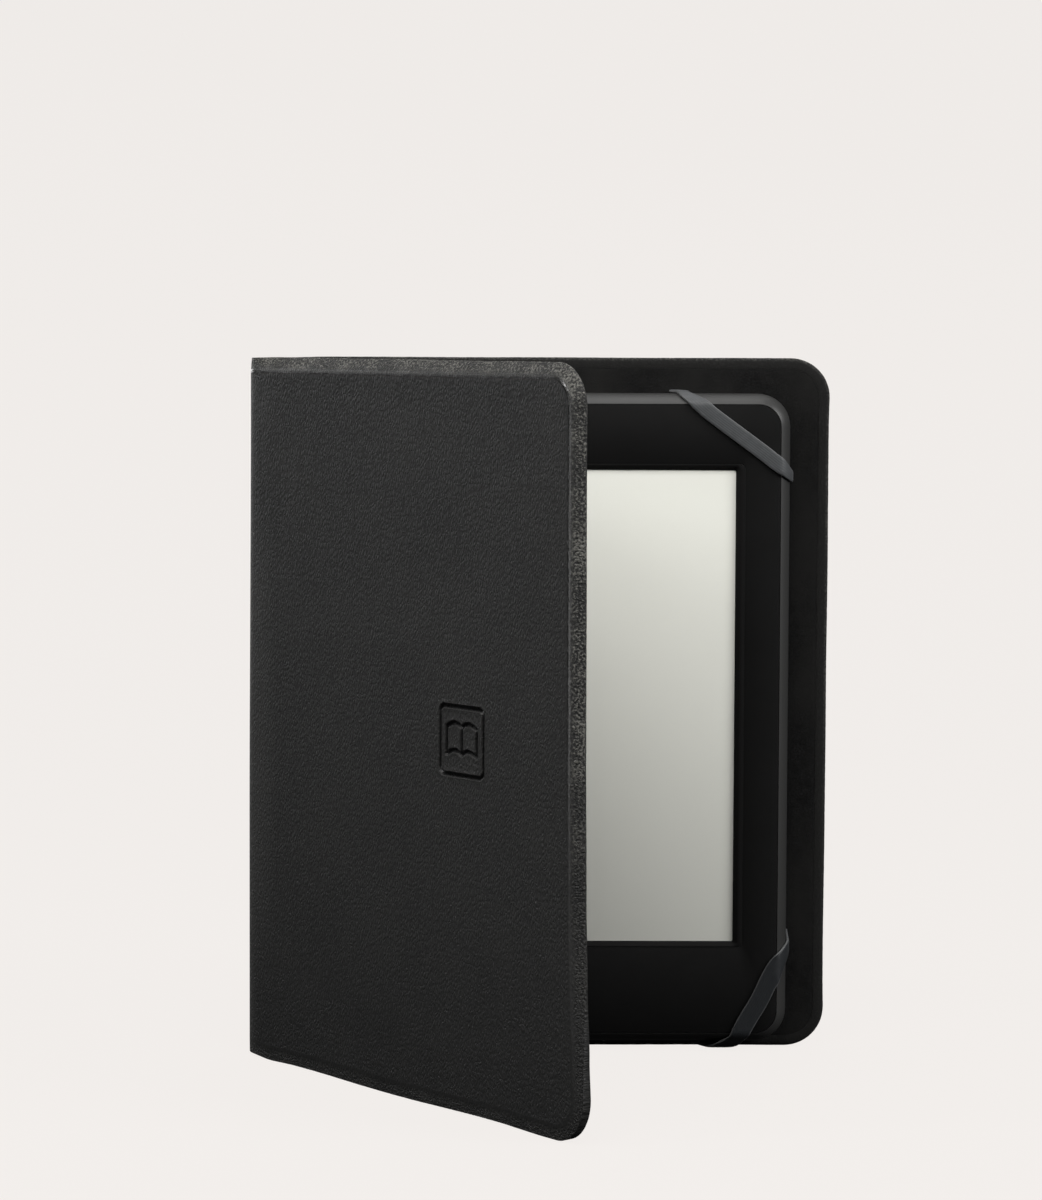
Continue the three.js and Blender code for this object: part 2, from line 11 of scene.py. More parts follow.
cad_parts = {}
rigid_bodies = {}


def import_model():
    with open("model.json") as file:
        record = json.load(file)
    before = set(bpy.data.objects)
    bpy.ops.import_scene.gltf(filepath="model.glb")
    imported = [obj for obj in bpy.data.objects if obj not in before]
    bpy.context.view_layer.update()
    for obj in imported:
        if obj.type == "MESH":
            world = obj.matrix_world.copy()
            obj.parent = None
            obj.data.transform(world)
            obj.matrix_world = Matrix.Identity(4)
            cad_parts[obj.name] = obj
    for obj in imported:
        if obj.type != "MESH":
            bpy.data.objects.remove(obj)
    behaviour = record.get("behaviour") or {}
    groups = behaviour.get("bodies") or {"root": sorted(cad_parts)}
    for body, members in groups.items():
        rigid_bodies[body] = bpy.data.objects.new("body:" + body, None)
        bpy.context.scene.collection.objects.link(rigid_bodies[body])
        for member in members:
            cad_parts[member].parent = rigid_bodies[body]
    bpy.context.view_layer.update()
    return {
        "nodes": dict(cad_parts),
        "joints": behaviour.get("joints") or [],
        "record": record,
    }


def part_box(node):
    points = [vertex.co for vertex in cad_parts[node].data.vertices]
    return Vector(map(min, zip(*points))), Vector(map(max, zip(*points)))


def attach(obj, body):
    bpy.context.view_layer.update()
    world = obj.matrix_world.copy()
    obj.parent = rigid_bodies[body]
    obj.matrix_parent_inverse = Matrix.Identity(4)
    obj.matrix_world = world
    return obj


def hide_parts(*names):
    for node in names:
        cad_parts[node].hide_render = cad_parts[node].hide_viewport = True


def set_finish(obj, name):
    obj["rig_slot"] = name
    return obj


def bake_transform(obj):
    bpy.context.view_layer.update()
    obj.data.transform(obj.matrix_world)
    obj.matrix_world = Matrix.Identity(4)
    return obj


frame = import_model()

MM = 0.001  # shapes are worked out in millimetres and stored in metres
GAP = 0.3  # air round the socket, the button and the light pipe in the wall

# ---------- places, from the frame ----------
joints = {j["name"]: j for j in frame["joints"]}
rear_axis = Vector(joints["spine_fold"]["pos_m"][:2]) / MM
front_axis = Vector(joints["cover_fold"]["pos_m"][:2]) / MM
spine_vector = front_axis - rear_axis
SPINE_W = spine_vector.length
fold_between = -atan2(spine_vector.y, spine_vector.x)
open_angle = 2 * fold_between - pi

skin_low, skin_high = (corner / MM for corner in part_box("back_cover_skin"))
CASE_H = skin_high.z
PANEL_W = skin_high.x - rear_axis.x
SKIN_OUT = skin_high.y - rear_axis.y
PANEL_IN = skin_low.y - rear_axis.y

housing_low, housing_high = (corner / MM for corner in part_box("rear_housing"))
READER = (housing_low + housing_high) / 2
READER_BACK = housing_high.y
READER_T = housing_high.y - housing_low.y
HALF_W = (housing_high.x - housing_low.x) / 2
HALF_H = (housing_high.z - housing_low.z) / 2

# ---------- driving dimensions of the surfaces ----------
CASE_R = 10.5
BEVEL_W = 4.2
BEVEL_DROP = 2.4
HEM_W = 2.8
SOFT_END = 12  # near the fold the leather lies flatter, because no board fills its edge
FOLD_REACH = 3.3  # from a fold axis to where the panel's stiff part begins
FOLD_R = FOLD_REACH * tan(fold_between / 2)
FOLD_ARC = FOLD_R * (pi - fold_between)
LINING_T = 0.6
READER_R = 8.5
RIM_W = 2.7
RIM_ROUND = 2.6  # how far in from the side the rim's arc begins
RIM_START = radians(35)  # the rim leaves the bezel at that slope and steepens into the side
RIM_R = RIM_ROUND / (1 - sin(RIM_START))
BACK_ROUND = 2.4
BACK_WALL = 1.5
CORNER_STEPS = 14  # at each corner of the case
EMBLEM_S = 92.1  # middle of the debossed sign
EMBLEM_Z = 89.9
EMBLEM_HALF = 10.5


# ---------- mesh helpers ----------
def new_object(name, data):
    thing = bpy.data.objects.new(name, data)
    bpy.context.scene.collection.objects.link(thing)
    return thing


def mesh_from(work, name):
    mesh = bpy.data.meshes.new(name)
    work.to_mesh(mesh)
    work.free()
    return mesh


SHARP_ANGLE = radians(40)


def add_mesh(name, points, faces):
    """A mesh from points in millimetres. Its normals are turned outwards."""
    mesh = bpy.data.meshes.new(name)
    mesh.from_pydata([tuple(p * MM for p in point) for point in points], [], faces)
    mesh.update()
    work = bmesh.new()
    work.from_mesh(mesh)
    bmesh.ops.recalc_face_normals(work, faces=work.faces)
    work.to_mesh(mesh)
    work.free()
    mesh.shade_smooth()
    mesh.set_sharp_from_angle(angle=SHARP_ANGLE)
    return new_object(name, mesh)


def set_flat(piece, places):
    """Each point's place on the material laid flat, in millimetres, which its pattern follows."""
    layer = piece.data.attributes.new("flat", "FLOAT_VECTOR", "POINT")
    layer.data.foreach_set("vector", np.array(places, np.float32).ravel())


def set_mark(piece, name, values):
    layer = piece.data.attributes.new(name, "FLOAT", "POINT")
    layer.data.foreach_set("value", np.array(values, np.float32))


def steps(start, end, count):
    """count + 1 evenly spaced values from start to end."""
    return [start + (end - start) * i / count for i in range(count + 1)]


def smoothstep(low, high, x):
    """0 at low and 1 at high, which may be the smaller number, with an eased rise between them."""
    t = min(1.0, max(0.0, (x - low) / (high - low)))
    return t * t * (3 - 2 * t)


# ---------- folio: flat pattern and how it folds ----------
# A half of the case is drawn flat: s runs from the middle of the spine over the soft fold to the
# panel's free edge, with s = 0 where the panel's stiff part begins, and z runs up. depth counts
# outwards.
SPINE_HALF = SPINE_W / 2 - FOLD_REACH
S_START = -FOLD_ARC - SPINE_HALF
S_FREE = PANEL_W - FOLD_REACH
CORNER_S = S_FREE - CASE_R


def fold_flat(s, depth):
    """Where a point of the flat pattern lies beside its own fold axis: along the panel, and outwards."""
    if s >= 0:
        return FOLD_REACH + s, depth
    turn = min(-s, FOLD_ARC) / FOLD_R
    radius = FOLD_R + depth
    x = FOLD_REACH - radius * sin(turn)
    y = -FOLD_R + radius * cos(turn)
    beyond = max(0.0, -s - FOLD_ARC)
    return x - beyond * cos(turn), y - beyond * sin(turn)


# (axis, direction along the panel, direction outwards, how far the free edge stands out at heights that
# are shares of the case's height): used leather is no longer quite straight at its free edge
rear_side = (
    rear_axis, Vector((1, 0)), Vector((0, 1)),
    ((0.0, 0.5), (0.12, 0.25), (0.5, 0.35), (0.9, 0.5), (1.0, 0.8)),
)
front_side = (
    front_axis,
    Vector((cos(open_angle), -sin(open_angle))),
    Vector((-sin(open_angle), -cos(open_angle))),
    (
        (0.0, 1.7), (0.05, 1.3), (0.11, 0.75), (0.2, -0.1),
        (0.32, -0.8), (0.5, -1.2), (0.8, -1.4), (1.0, -1.4),
    ),
)
EDGE_REACH = 45  # how far in from the free edge its bow is felt
PULL_ASIDE = 0.4
PULL_UP = 0.9  # of the bottom edge
PULL_DOWN = 0.3  # of the top edge
PULL_HEIGHT = 30  # how far from those edges the pull is felt
WAVE_MEAN = 0.23  # lift of the front cover's bottom edge
WAVE_SWING = 0.2
WAVE_CREST = 25  # where along the panel it is highest
WAVE_LENGTH = 75
WAVE_HEIGHT = 25  # how far up the wave is felt


def edge_shift(side, s, z):
    """How far that point moves along its panel because the free edge isn't straight."""
    share = min(1.0, max(0.0, z / CASE_H))
    knots = side[3]
    low, high = next(pair for pair in zip(knots, knots[1:]) if share <= pair[1][0])
    shift = low[1] + (high[1] - low[1]) * smoothstep(low[0], high[0], share)
    return shift * smoothstep(S_FREE - EDGE_REACH, S_FREE, s)


def fold_pull(s, z):
    """How far aside and upward the case is drawn at the fold, where no board holds it out: its upper part
    leans to the right, its bottom edge is drawn up and its top edge down."""
    soft = 1 - smoothstep(-3, 9, s)
    aside = PULL_ASIDE * smoothstep(60, 170, z)
    raised = PULL_UP * (1 - smoothstep(0, PULL_HEIGHT, z))
    lowered = PULL_DOWN * smoothstep(CASE_H - PULL_HEIGHT, CASE_H, z)
    return aside * soft, (raised - lowered) * soft


def edge_lift(side, s, z):
    """The front cover's bottom edge waves up off the floor by that much."""
    if side is not front_side:
        return 0
    wave = WAVE_MEAN + WAVE_SWING * cos(2 * pi * (s - WAVE_CREST) / WAVE_LENGTH)
    stretch = smoothstep(2, 20, s) * (1 - smoothstep(108, 130, s))
    return wave * stretch * (1 - smoothstep(0, WAVE_HEIGHT, z))


def place(side, s, depth, z):
    axis, along, outward = side[:3]
    x, y = fold_flat(s + edge_shift(side, s, z), depth)
    spot = axis + along * x + outward * y
    aside, upward = fold_pull(s, z)
    return (spot.x + aside, spot.y, z + upward + edge_lift(side, s, z))


def u_path(inset, run_s, edge_z):
    """One line round a panel at that inset: along the top, down the free edge and back along the bottom.
    At an inset of CASE_R each corner's turn shrinks to one point."""
    r = CASE_R - inset
    path = [(s, CASE_H - inset) for s in run_s]
    turns = steps(pi / 2, 0, CORNER_STEPS)[1:-1]
    path += [(CORNER_S + r * cos(a), CASE_H - CASE_R + r * sin(a)) for a in turns]
    path += [(CORNER_S + r, z) for z in edge_z]
    path += [(CORNER_S + r * cos(a), CASE_R - r * sin(a)) for a in reversed(turns)]
    path += [(s, inset) for s in reversed(run_s)]
    return path


def dense_between(values, low, high, step):
    """values, with the stretch from low to high filled in at that step."""
    kept = [v for v in values if v < low - step / 2 or v > high + step / 2]
    return sorted(kept + steps(low, high, round((high - low) / step)))


SPINE_COLUMNS = 4
FOLD_COLUMNS = 14
PANEL_COLUMNS = 90
EDGE_ROWS = 200
EMBLEM_STEP = 0.2


def stations(emblem):
    """Positions of the mesh's columns along s, and of its rows down the free edge."""
    along = steps(S_START, -FOLD_ARC, SPINE_COLUMNS)[:-1]
    along += steps(-FOLD_ARC, 0, FOLD_COLUMNS)[:-1]
    along += steps(0, CORNER_S, PANEL_COLUMNS)
    rows = steps(CASE_R, CASE_H - CASE_R, EDGE_ROWS)
    if emblem:
        along = dense_between(along, EMBLEM_S - EMBLEM_HALF, EMBLEM_S + EMBLEM_HALF, EMBLEM_STEP)
        rows = dense_between(rows, EMBLEM_Z - EMBLEM_HALF, EMBLEM_Z + EMBLEM_HALF, EMBLEM_STEP)
    return along, list(reversed(rows))


# ---------- the generic sign: an open book in a frame, debossed ----------
GROOVE_W = 1.1
GROOVE_DEPTH = 0.55
SIGN_W = 8.8  # half sizes of the frame
SIGN_H = 8.2
SIGN_R = 1.6
PAGE_W = 6.1
PAGE_H = 6.6
PAGE_CURVE = 1.3


def segment_distance(p, a, b):
    ab, ap = (b[0] - a[0], b[1] - a[1]), (p[0] - a[0], p[1] - a[1])
    t = min(1.0, max(0.0, (ap[0] * ab[0] + ap[1] * ab[1]) / (ab[0] ** 2 + ab[1] ** 2)))
    return hypot(ap[0] - t * ab[0], ap[1] - t * ab[1])


def frame_distance(p):
    """How far a point is from the sign's rounded frame line."""
    dx, dz = abs(p[0]) - SIGN_W + SIGN_R, abs(p[1]) - SIGN_H + SIGN_R
    outside = hypot(max(dx, 0), max(dz, 0))
    return abs(outside + min(max(dx, dz), 0) - SIGN_R)


def page_line(level):
    """A page's curved top or bottom line, from the book's middle outwards."""
    return [
        (PAGE_W * t, level + PAGE_CURVE * sin(pi * t) * (1 - 0.45 * t))
        for t in steps(0, 1, 10)
    ]


def book_strokes():
    top, bottom = page_line(PAGE_H / 2), page_line(-PAGE_H / 2)
    strokes = [[(0, PAGE_H / 2), (0, -PAGE_H / 2)]]
    for line in (top, bottom, [top[-1], bottom[-1]]):
        strokes += [line, [(-x, y) for x, y in line]]
    return [(a, b) for line in strokes for a, b in zip(line, line[1:])]


BOOK = book_strokes()


def groove_share(s, z):
    """How far down a groove the point is, from 0 outside to 1 on its floor, and the swell beside it."""
    p = (s - EMBLEM_S, z - EMBLEM_Z)
    if max(abs(p[0]), abs(p[1])) > EMBLEM_HALF - EMBLEM_STEP:
        return 0, 0
    nearest = min(frame_distance(p), *(segment_distance(p, a, b) for a, b in BOOK))
    groove = 1 - smoothstep(GROOVE_W * 0.22, GROOVE_W * 0.6, nearest)
    swell = (1 - smoothstep(GROOVE_W * 0.5, GROOVE_W * 1.6, nearest)) * (1 - groove)
    return groove, swell


# ---------- folio: leather skin ----------
HEM_PROFILE = [
    (HEM_W, -SKIN_OUT),
    (HEM_W, PANEL_IN + 0.3),
    (HEM_W - 0.02, PANEL_IN + 0.03),
    (HEM_W - 0.12, PANEL_IN + 0.005),
    (1.7, PANEL_IN + 0.02),
    (0.9, PANEL_IN + 0.14),
    (0.4, PANEL_IN + 0.38),
    (0.1, PANEL_IN + 0.72),
]  # (inset, depth) inside, from the turned-in leather's raw edge out to the outline
BEVEL_PROFILE = [
    (0, 1.0), (0.03, 0.95), (0.15, 0.89), (0.4, 0.8), (0.8, 0.68), (1.3, 0.545),
    (1.8, 0.41), (2.3, 0.28), (2.7, 0.185), (3.0, 0.12), (3.3, 0.065), (3.6, 0.028),
    (3.9, 0.008), (BEVEL_W, 0), (5.2, 0), (7.5, 0), (CASE_R, 0),
]  # (inset, share of BEVEL_DROP) outside, from the outline up over the board's shoulder to the plateau


def skin_profile():
    """(inset, depth, drop) round the panel's edge. The bevel takes drop off the depth."""
    inside = [(inset, depth, 0) for inset, depth in HEM_PROFILE]
    return inside + [(inset, SKIN_OUT, share * BEVEL_DROP) for inset, share in BEVEL_PROFILE]


def unrolled(profile):
    """The skin's own inset at each profile line, measured along the leather from the plateau."""
    inset = [profile[-1][0]]
    for (i0, depth0, drop0), (i1, depth1, drop1) in zip(profile[::-1], profile[-2::-1]):
        inset.append(inset[-1] - hypot(i1 - i0, depth1 - drop1 - depth0 + drop0))
    return inset[::-1]


def edge_wander(s, z, inset):
    """How far, as (s, z), a point strays from the true outline, because the leather is turned in by hand."""
    slow = noise.noise(Vector((s * 0.035, z * 0.035, 3.1)))
    fine = noise.noise(Vector((s * 1.7, z * 1.7, 8.7)))
    amount = (0.12 * slow + 0.04 * fine) * (1 - smoothstep(0, 3, inset))
    to_centre = Vector((CORNER_S - s, (CASE_R if z < CASE_H / 2 else CASE_H - CASE_R) - z))
    if s < CORNER_S:
        to_centre.x = 0
    elif CASE_R < z < CASE_H - CASE_R:
        to_centre.y = 0
    if to_centre.length < 0.1:
        return Vector((0, 0))
    return to_centre.normalized() * amount


def bevel_share(s, z):
    """The bevel fades towards the fold, and is slight along the bottom, where the case stands."""
    return (0.12 + 0.88 * smoothstep(-2, SOFT_END, s)) * (0.15 + 0.85 * smoothstep(3, 45, z))


def joined_rings(rings):
    """Faces between neighbouring rings. Where a ring repeats a point, the face loses a corner there."""
    faces = []
    for a, b in zip(rings, rings[1:]):
        for i in range(len(a) - 1):
            face = tuple(dict.fromkeys((a[i], a[i + 1], b[i + 1], b[i])))
            if len(face) > 2:
                faces.append(face)
    return faces


def ruled_face(ring, columns):
    """Closes a ring: straight strips from its top run to its bottom run, and one face at the free end."""
    top, bottom = ring[:columns], list(reversed(ring[-columns:]))
    pairs = zip(zip(top, top[1:]), zip(bottom, bottom[1:]))
    return [(a, b, d, c) for (a, b), (c, d) in pairs] + [tuple(ring[columns - 1:len(ring) - columns + 1])]


class SkinPoints:
    """The points of a leather half, with their places on the leather laid flat and their marks."""

    def __init__(self, side):
        self.side = side
        self.points = []
        self.flat = []
        self.marks = {"edge": [], "inside": [], "groove": []}

    def add(self, s, z, depth, flat, **marks):
        """Adds a point and returns its number. A mark that isn't given is 0."""
        self.points.append(place(self.side, s, depth, z))
        self.flat.append((*flat, 0))
        for mark, values in self.marks.items():
            values.append(marks.get(mark, 0.0))
        return len(self.points) - 1


def edge_ring(skin, profile_line, own_inset, run_s, edge_z):
    """One ring of points round the panel's edge. Where a corner has shrunk to a point, that is repeated."""
    inset, depth, drop = profile_line
    inside = smoothstep(-0.6, 0.9, inset) if depth < SKIN_OUT else 0
    edge = 1 - min(1.0, inset / BEVEL_W)
    spots = u_path(inset, run_s, edge_z)
    ring = []
    for k, ((s, z), flat) in enumerate(zip(spots, u_path(own_inset, run_s, edge_z))):
        if k and dist(spots[k - 1], (s, z)) < 1e-6:
            ring.append(ring[-1])
            continue
        stray = edge_wander(s, z, inset)
        lower = drop * bevel_share(s, z)
        ring.append(skin.add(s + stray.x, z + stray.y, depth - lower, flat, edge=edge, inside=inside))
    return ring


SWELL = 0.07  # how far the leather swells over the board and beside the sign's grooves


def plateau_rows(skin, free_column, run_s, edge_z, emblem):
    """The rows of points on the flat face inside the bevel. Each ends on the last ring."""
    rows = []
    for z, free_point in zip(edge_z[1:-1], free_column[1:-1]):
        row = []
        for s in run_s[:-1]:
            groove, beside = groove_share(s, z) if emblem else (0, 0)
            calm = smoothstep(CASE_R, 2 * CASE_R, min(z, CASE_H - z, S_FREE - s)) * smoothstep(0, 8, s)
            swell = SWELL * calm * noise.noise(Vector((s * 0.04, z * 0.04, 0.5))) + SWELL * beside
            row.append(skin.add(s, z, SKIN_OUT + swell - GROOVE_DEPTH * groove, (s, z), groove=groove))
        rows.append(row + [free_point])
    return rows


def leather_half(name, side, emblem):
    run_s, edge_z = stations(emblem)
    columns, rows = len(run_s), len(edge_z)
    profile = skin_profile()
    skin = SkinPoints(side)
    rings = [
        edge_ring(skin, line, own_inset, run_s, edge_z)
        for line, own_inset in zip(profile, unrolled(profile))
    ]
    last = rings[-1]
    free_column = last[columns + CORNER_STEPS - 1:][:rows]
    plateau = plateau_rows(skin, free_column, run_s, edge_z, emblem)
    grid = [last[:columns], *plateau, list(reversed(last[-columns:]))]
    spine_cut = [ring[0] for ring in rings] + [row[0] for row in plateau]
    spine_cut += [ring[-1] for ring in reversed(rings)]
    under_board = ruled_face(rings[0], columns)
    faces = joined_rings(rings) + joined_rings(grid) + under_board + [tuple(spine_cut)]
    piece = add_mesh(name, skin.points, faces)
    set_flat(piece, skin.flat)
    for mark, values in skin.marks.items():
        set_mark(piece, mark, values)
    return piece


# ---------- folio: lining ----------
def lining_half(name, side):
    run_s, edge_z = stations(False)
    low = PANEL_IN + LINING_T
    profile = [
        (HEM_W + 1.6, low),
        (HEM_W + 0.03, low),
        (HEM_W + 0.03, PANEL_IN + 0.2),
        (HEM_W + 0.05, PANEL_IN + 0.03),
        (HEM_W + 0.15, PANEL_IN + 0.005),
        (HEM_W + 1.6, PANEL_IN),
    ]
    points, flat, rings = [], [], []
    for inset, depth in profile:
        ring = []
        for s, z in u_path(inset, run_s, edge_z):
            points.append(place(side, s, depth, z))
            flat.append((s, z, 0))
            ring.append(len(points) - 1)
        rings.append(ring)
    faces = joined_rings(rings) + ruled_face(rings[0], len(run_s)) + ruled_face(rings[-1], len(run_s))
    faces.append(tuple([ring[0] for ring in rings] + [ring[-1] for ring in reversed(rings)]))
    piece = add_mesh(name, points, faces)
    set_flat(piece, flat)
    return piece


lining_middle = PANEL_IN + LINING_T / 2
skin_rear = leather_half("folio_rear_leather", rear_side, False)
skin_front = leather_half("folio_front_leather", front_side, True)
lining_rear = lining_half("folio_rear_lining", rear_side)
lining_front = lining_half("folio_front_lining", front_side)
for piece, side, panel_body, depth in (
    (skin_rear, rear_side, "back_cover", 0),
    (lining_rear, rear_side, "back_cover", lining_middle),
    (skin_front, front_side, "front_cover", 0),
    (lining_front, front_side, "front_cover", lining_middle),
):
    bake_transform(piece)
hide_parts("back_cover_skin", "rear_fold_leather", "spine_skin")
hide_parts("front_cover_skin", "front_fold_leather")
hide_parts("back_cover_lining", "rear_fold_lining", "spine_lining")
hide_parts("front_cover_lining", "front_fold_lining")


# ---------- e-reader: rounded frames lofted from rings ----------
FRONT = -READER_T  # depths count from the reader's back face
RING_CORNER_STEPS = 10


def rounded_ring(half_x, low_z, high_z, r):
    """Points round a rounded rectangle, in reader coordinates, counted from its middle."""
    r = max(r, 0.01)
    centres = (
        (half_x - r, high_z - r),
        (-half_x + r, high_z - r),
        (-half_x + r, low_z + r),
        (half_x - r, low_z + r),
    )
    ring = []
    for quarter, (cx, cz) in enumerate(centres):
        for a in steps(quarter * pi / 2, (quarter + 1) * pi / 2, RING_CORNER_STEPS):
            ring.append((cx + r * cos(a), cz + r * sin(a)))
    return ring


def tube_faces(rings):
    """Faces between neighbouring closed rings."""
    return joined_rings([ring + ring[:1] for ring in rings])


def loft(name, sections, capped=False):
    """A closed skin over rings. A section is (ring, depth behind the reader's back face, negative to the
    front). An uncapped loft joins its last ring to its first, as a frame does."""
    count = len(sections[0][0])
    points = [
        (READER.x + x, READER_BACK + y, READER.z + z) for ring, y in sections for x, z in ring
    ]
    rings = [[k * count + i for i in range(count)] for k in range(len(sections))]
    if capped:
        faces = tube_faces(rings) + [tuple(rings[0]), tuple(rings[-1])]
    else:
        faces = tube_faces(rings + rings[:1])
    return add_mesh(name, points, faces)


def tool_from(work, spot):
    """An object made from a bmesh and put in its place, to cut or join with."""
    mesh = mesh_from(work, "tool")
    mesh.transform(spot)
    return new_object("tool", mesh)


def cylinder_tool(middle, radius, half_length, axis):
    radius_m, length_m = radius * MM, 2 * half_length * MM
    work = bmesh.new()
    bmesh.ops.create_cone(
        work, cap_ends=True, segments=32, radius1=radius_m, radius2=radius_m, depth=length_m)
    turn = Matrix.Rotation(pi / 2, 4, "X") if axis == "y" else Matrix.Identity(4)
    return tool_from(work, Matrix.Translation(Vector(middle) * MM) @ turn)


def box_tool(low, high):
    low, high = Vector(low) * MM, Vector(high) * MM
    work = bmesh.new()
    bmesh.ops.create_cube(work, size=1)
    return tool_from(work, Matrix.Translation((low + high) / 2) @ Matrix.Diagonal((*(high - low), 1)))


def boolean(piece, tool, operation):
    step = piece.modifiers.new("cut", "BOOLEAN")
    step.operation = operation
    step.solver = "EXACT"
    step.object = tool
    graph = bpy.context.evaluated_depsgraph_get()
    mesh = bpy.data.meshes.new_from_object(piece.evaluated_get(graph))
    piece.modifiers.clear()
    piece.data = mesh
    bpy.data.objects.remove(tool)


def centred_ring(inset):
    return rounded_ring(HALF_W - inset, -(HALF_H - inset), HALF_H - inset, READER_R - inset)


def rim_point(slope):
    """(inset, depth) on the rim's arc where its surface has that slope."""
    return RIM_R * (1 - sin(slope)), FRONT + RIM_R * (cos(RIM_START) - cos(slope))


LIP_DEPTH = 0.5  # of the rim's inner edge, behind the front
WALL_OVERCUT = 1.0  # how far the cutting tools stand out of the wall
FLANGE_X = 1.0  # how far the button's flange stands out inside the wall
FLANGE_Y = 0.5
BOSS_R = 2.4
BORE_R = 1.2
BOSS_H = 5.6  # from the reader's back face
BOSS_ROOT = 1.0  # a boss begins that deep in the back wall


def rear_housing():
    rim_round = [rim_point(a) for a in steps(RIM_START, pi / 2, 12)]
    back_round = [
        (BACK_ROUND * (1 - cos(a)), -BACK_ROUND * (1 - sin(a)))
        for a in steps(0, pi / 2, 10)
    ]
    profile = [(RIM_W, -BACK_WALL), (RIM_ROUND, FRONT + LIP_DEPTH), *rim_round, *back_round]
    return loft("reader_housing", [(centred_ring(inset), y) for inset, y in profile], capped=True)


def cut_openings(shell):
    """The openings in the lower wall, for the socket, the button and the light pipe."""
    usb_low, usb_high = (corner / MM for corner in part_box("usb_port"))
    button_low, button_high = (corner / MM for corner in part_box("power_button"))
    pipe_low, pipe_high = (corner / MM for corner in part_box("status_light_pipe"))
    low_z = housing_low.z - WALL_OVERCUT
    high_z = housing_low.z + RIM_W + WALL_OVERCUT
    centre_z, half_z = (low_z + high_z) / 2, (high_z - low_z) / 2
    socket = box_tool(
        (usb_low.x - GAP, usb_low.y - GAP, low_z), (usb_high.x + GAP, usb_high.y + GAP, high_z))
    middle = (button_low + button_high) / 2
    half_t = (button_high.y - button_low.y) / 2 - FLANGE_Y + GAP
    half_w = (button_high.x - button_low.x) / 2 - FLANGE_X + GAP - half_t
    slot = box_tool(
        (middle.x - half_w, middle.y - half_t, low_z), (middle.x + half_w, middle.y + half_t, high_z))
    slot_ends = [
        cylinder_tool((middle.x + side * half_w, middle.y, centre_z), half_t, half_z, "z")
        for side in (-1, 1)
    ]
    pipe = (pipe_low + pipe_high) / 2
    pipe_hole = cylinder_tool(
        (pipe.x, pipe.y, centre_z), (pipe_high.x - pipe_low.x) / 2 + GAP, half_z, "z")
    for tool in (socket, slot, *slot_ends, pipe_hole):
        boolean(shell, tool, "DIFFERENCE")


def add_bosses(shell):
    """The bosses inside that the chassis screws go into."""
    top = READER_BACK - BOSS_H
    root = READER_BACK - BOSS_ROOT
    for k in range(1, 5):
        low, high = (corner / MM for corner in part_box(f"chassis_screw_{k}"))
        x, z = (low.x + high.x) / 2, (low.z + high.z) / 2
        boss = cylinder_tool((x, (top + root) / 2, z), BOSS_R, (root - top) / 2, "y")
        boolean(shell, boss, "UNION")
        bore = cylinder_tool((x, top, z), BORE_R, BOSS_H - BACK_WALL, "y")
        boolean(shell, bore, "DIFFERENCE")


housing = rear_housing()
cut_openings(housing)
add_bosses(housing)
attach(housing, "back_cover")
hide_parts("rear_housing")

# ---------- e-reader: bezel, lens frame and electronic paper ----------
lens_low, lens_high = (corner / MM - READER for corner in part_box("infrared_lens_frame"))
panel_low, panel_high = (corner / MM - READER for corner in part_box("epaper_panel"))
LENS_SIDE = 2.4  # from the lens frame's outline to the picture area, at the sides
LENS_END = 1.5  # and at the top and the bottom
BEZEL_FRONT = FRONT + 0.04
BEZEL_BACK = FRONT + 1.2
SLOPE_W = 1.3  # the width of the lens frame's slope round the picture area
FILM_T = 0.65
FILM_INSET = 0.8  # from the glass plate's edge


def window_ring(grow, r):
    """A ring round the lens frame's outline, grown by that much."""
    return rounded_ring(lens_high.x + grow, lens_low.z - grow, lens_high.z + grow, r)


def picture_ring(grow, r):
    side, end = LENS_SIDE - grow, LENS_END - grow
    return rounded_ring(lens_high.x - side, lens_low.z + end, lens_high.z - end, r)


def front_bezel():
    outer = RIM_W + 0.03
    sections = [
        (centred_ring(outer), BEZEL_BACK),
        (centred_ring(outer), BEZEL_FRONT + 0.05),
        (centred_ring(outer + 0.1), BEZEL_FRONT),
        (window_ring(0.1, 1.4), BEZEL_FRONT),
        (window_ring(0.04, 1.4), BEZEL_FRONT + 0.04),
        (window_ring(0.04, 1.4), BEZEL_BACK),
    ]
    return loft("reader_bezel", sections)


def lens_frame():
    """Flush with the bezel outside. Inside it slopes down to the paper."""
    sections = [
        (window_ring(0, 1.36), BEZEL_BACK),
        (window_ring(0, 1.36), BEZEL_FRONT + 0.04),
        (window_ring(-0.05, 1.34), BEZEL_FRONT),
        (picture_ring(SLOPE_W, 1.3), BEZEL_FRONT),
        (picture_ring(SLOPE_W - 0.2, 1.2), BEZEL_FRONT + 0.05),
        (picture_ring(SLOPE_W - 0.4, 1.1), BEZEL_FRONT + 0.2),
        (picture_ring(0.12, 0.5), BEZEL_BACK - 0.2),
        (picture_ring(0, 0.35), BEZEL_BACK - 0.08),
        (picture_ring(0, 0.35), BEZEL_BACK),
    ]
    return loft("reader_lens_frame", sections)


def paper_panel():
    """A glass plate with the electronic paper film on its front."""
    def ring(inset, r):
        return rounded_ring(panel_high.x - inset, panel_low.z + inset, panel_high.z - inset, r)

    glass_back = panel_high.y + READER.y - READER_BACK
    film_back = glass_back - FILM_T
    film_front = BEZEL_BACK + 0.06
    sections = [
        (ring(0.1, 0.4), glass_back),
        (ring(0, 0.5), glass_back - 0.1),
        (ring(0, 0.5), film_back + 0.06),
        (ring(FILM_INSET, 0.5), film_back),
        (ring(FILM_INSET, 0.5), film_front + 0.05),
        (ring(FILM_INSET + 0.05, 0.5), film_front),
    ]
    return loft("reader_paper_panel", sections, capped=True)


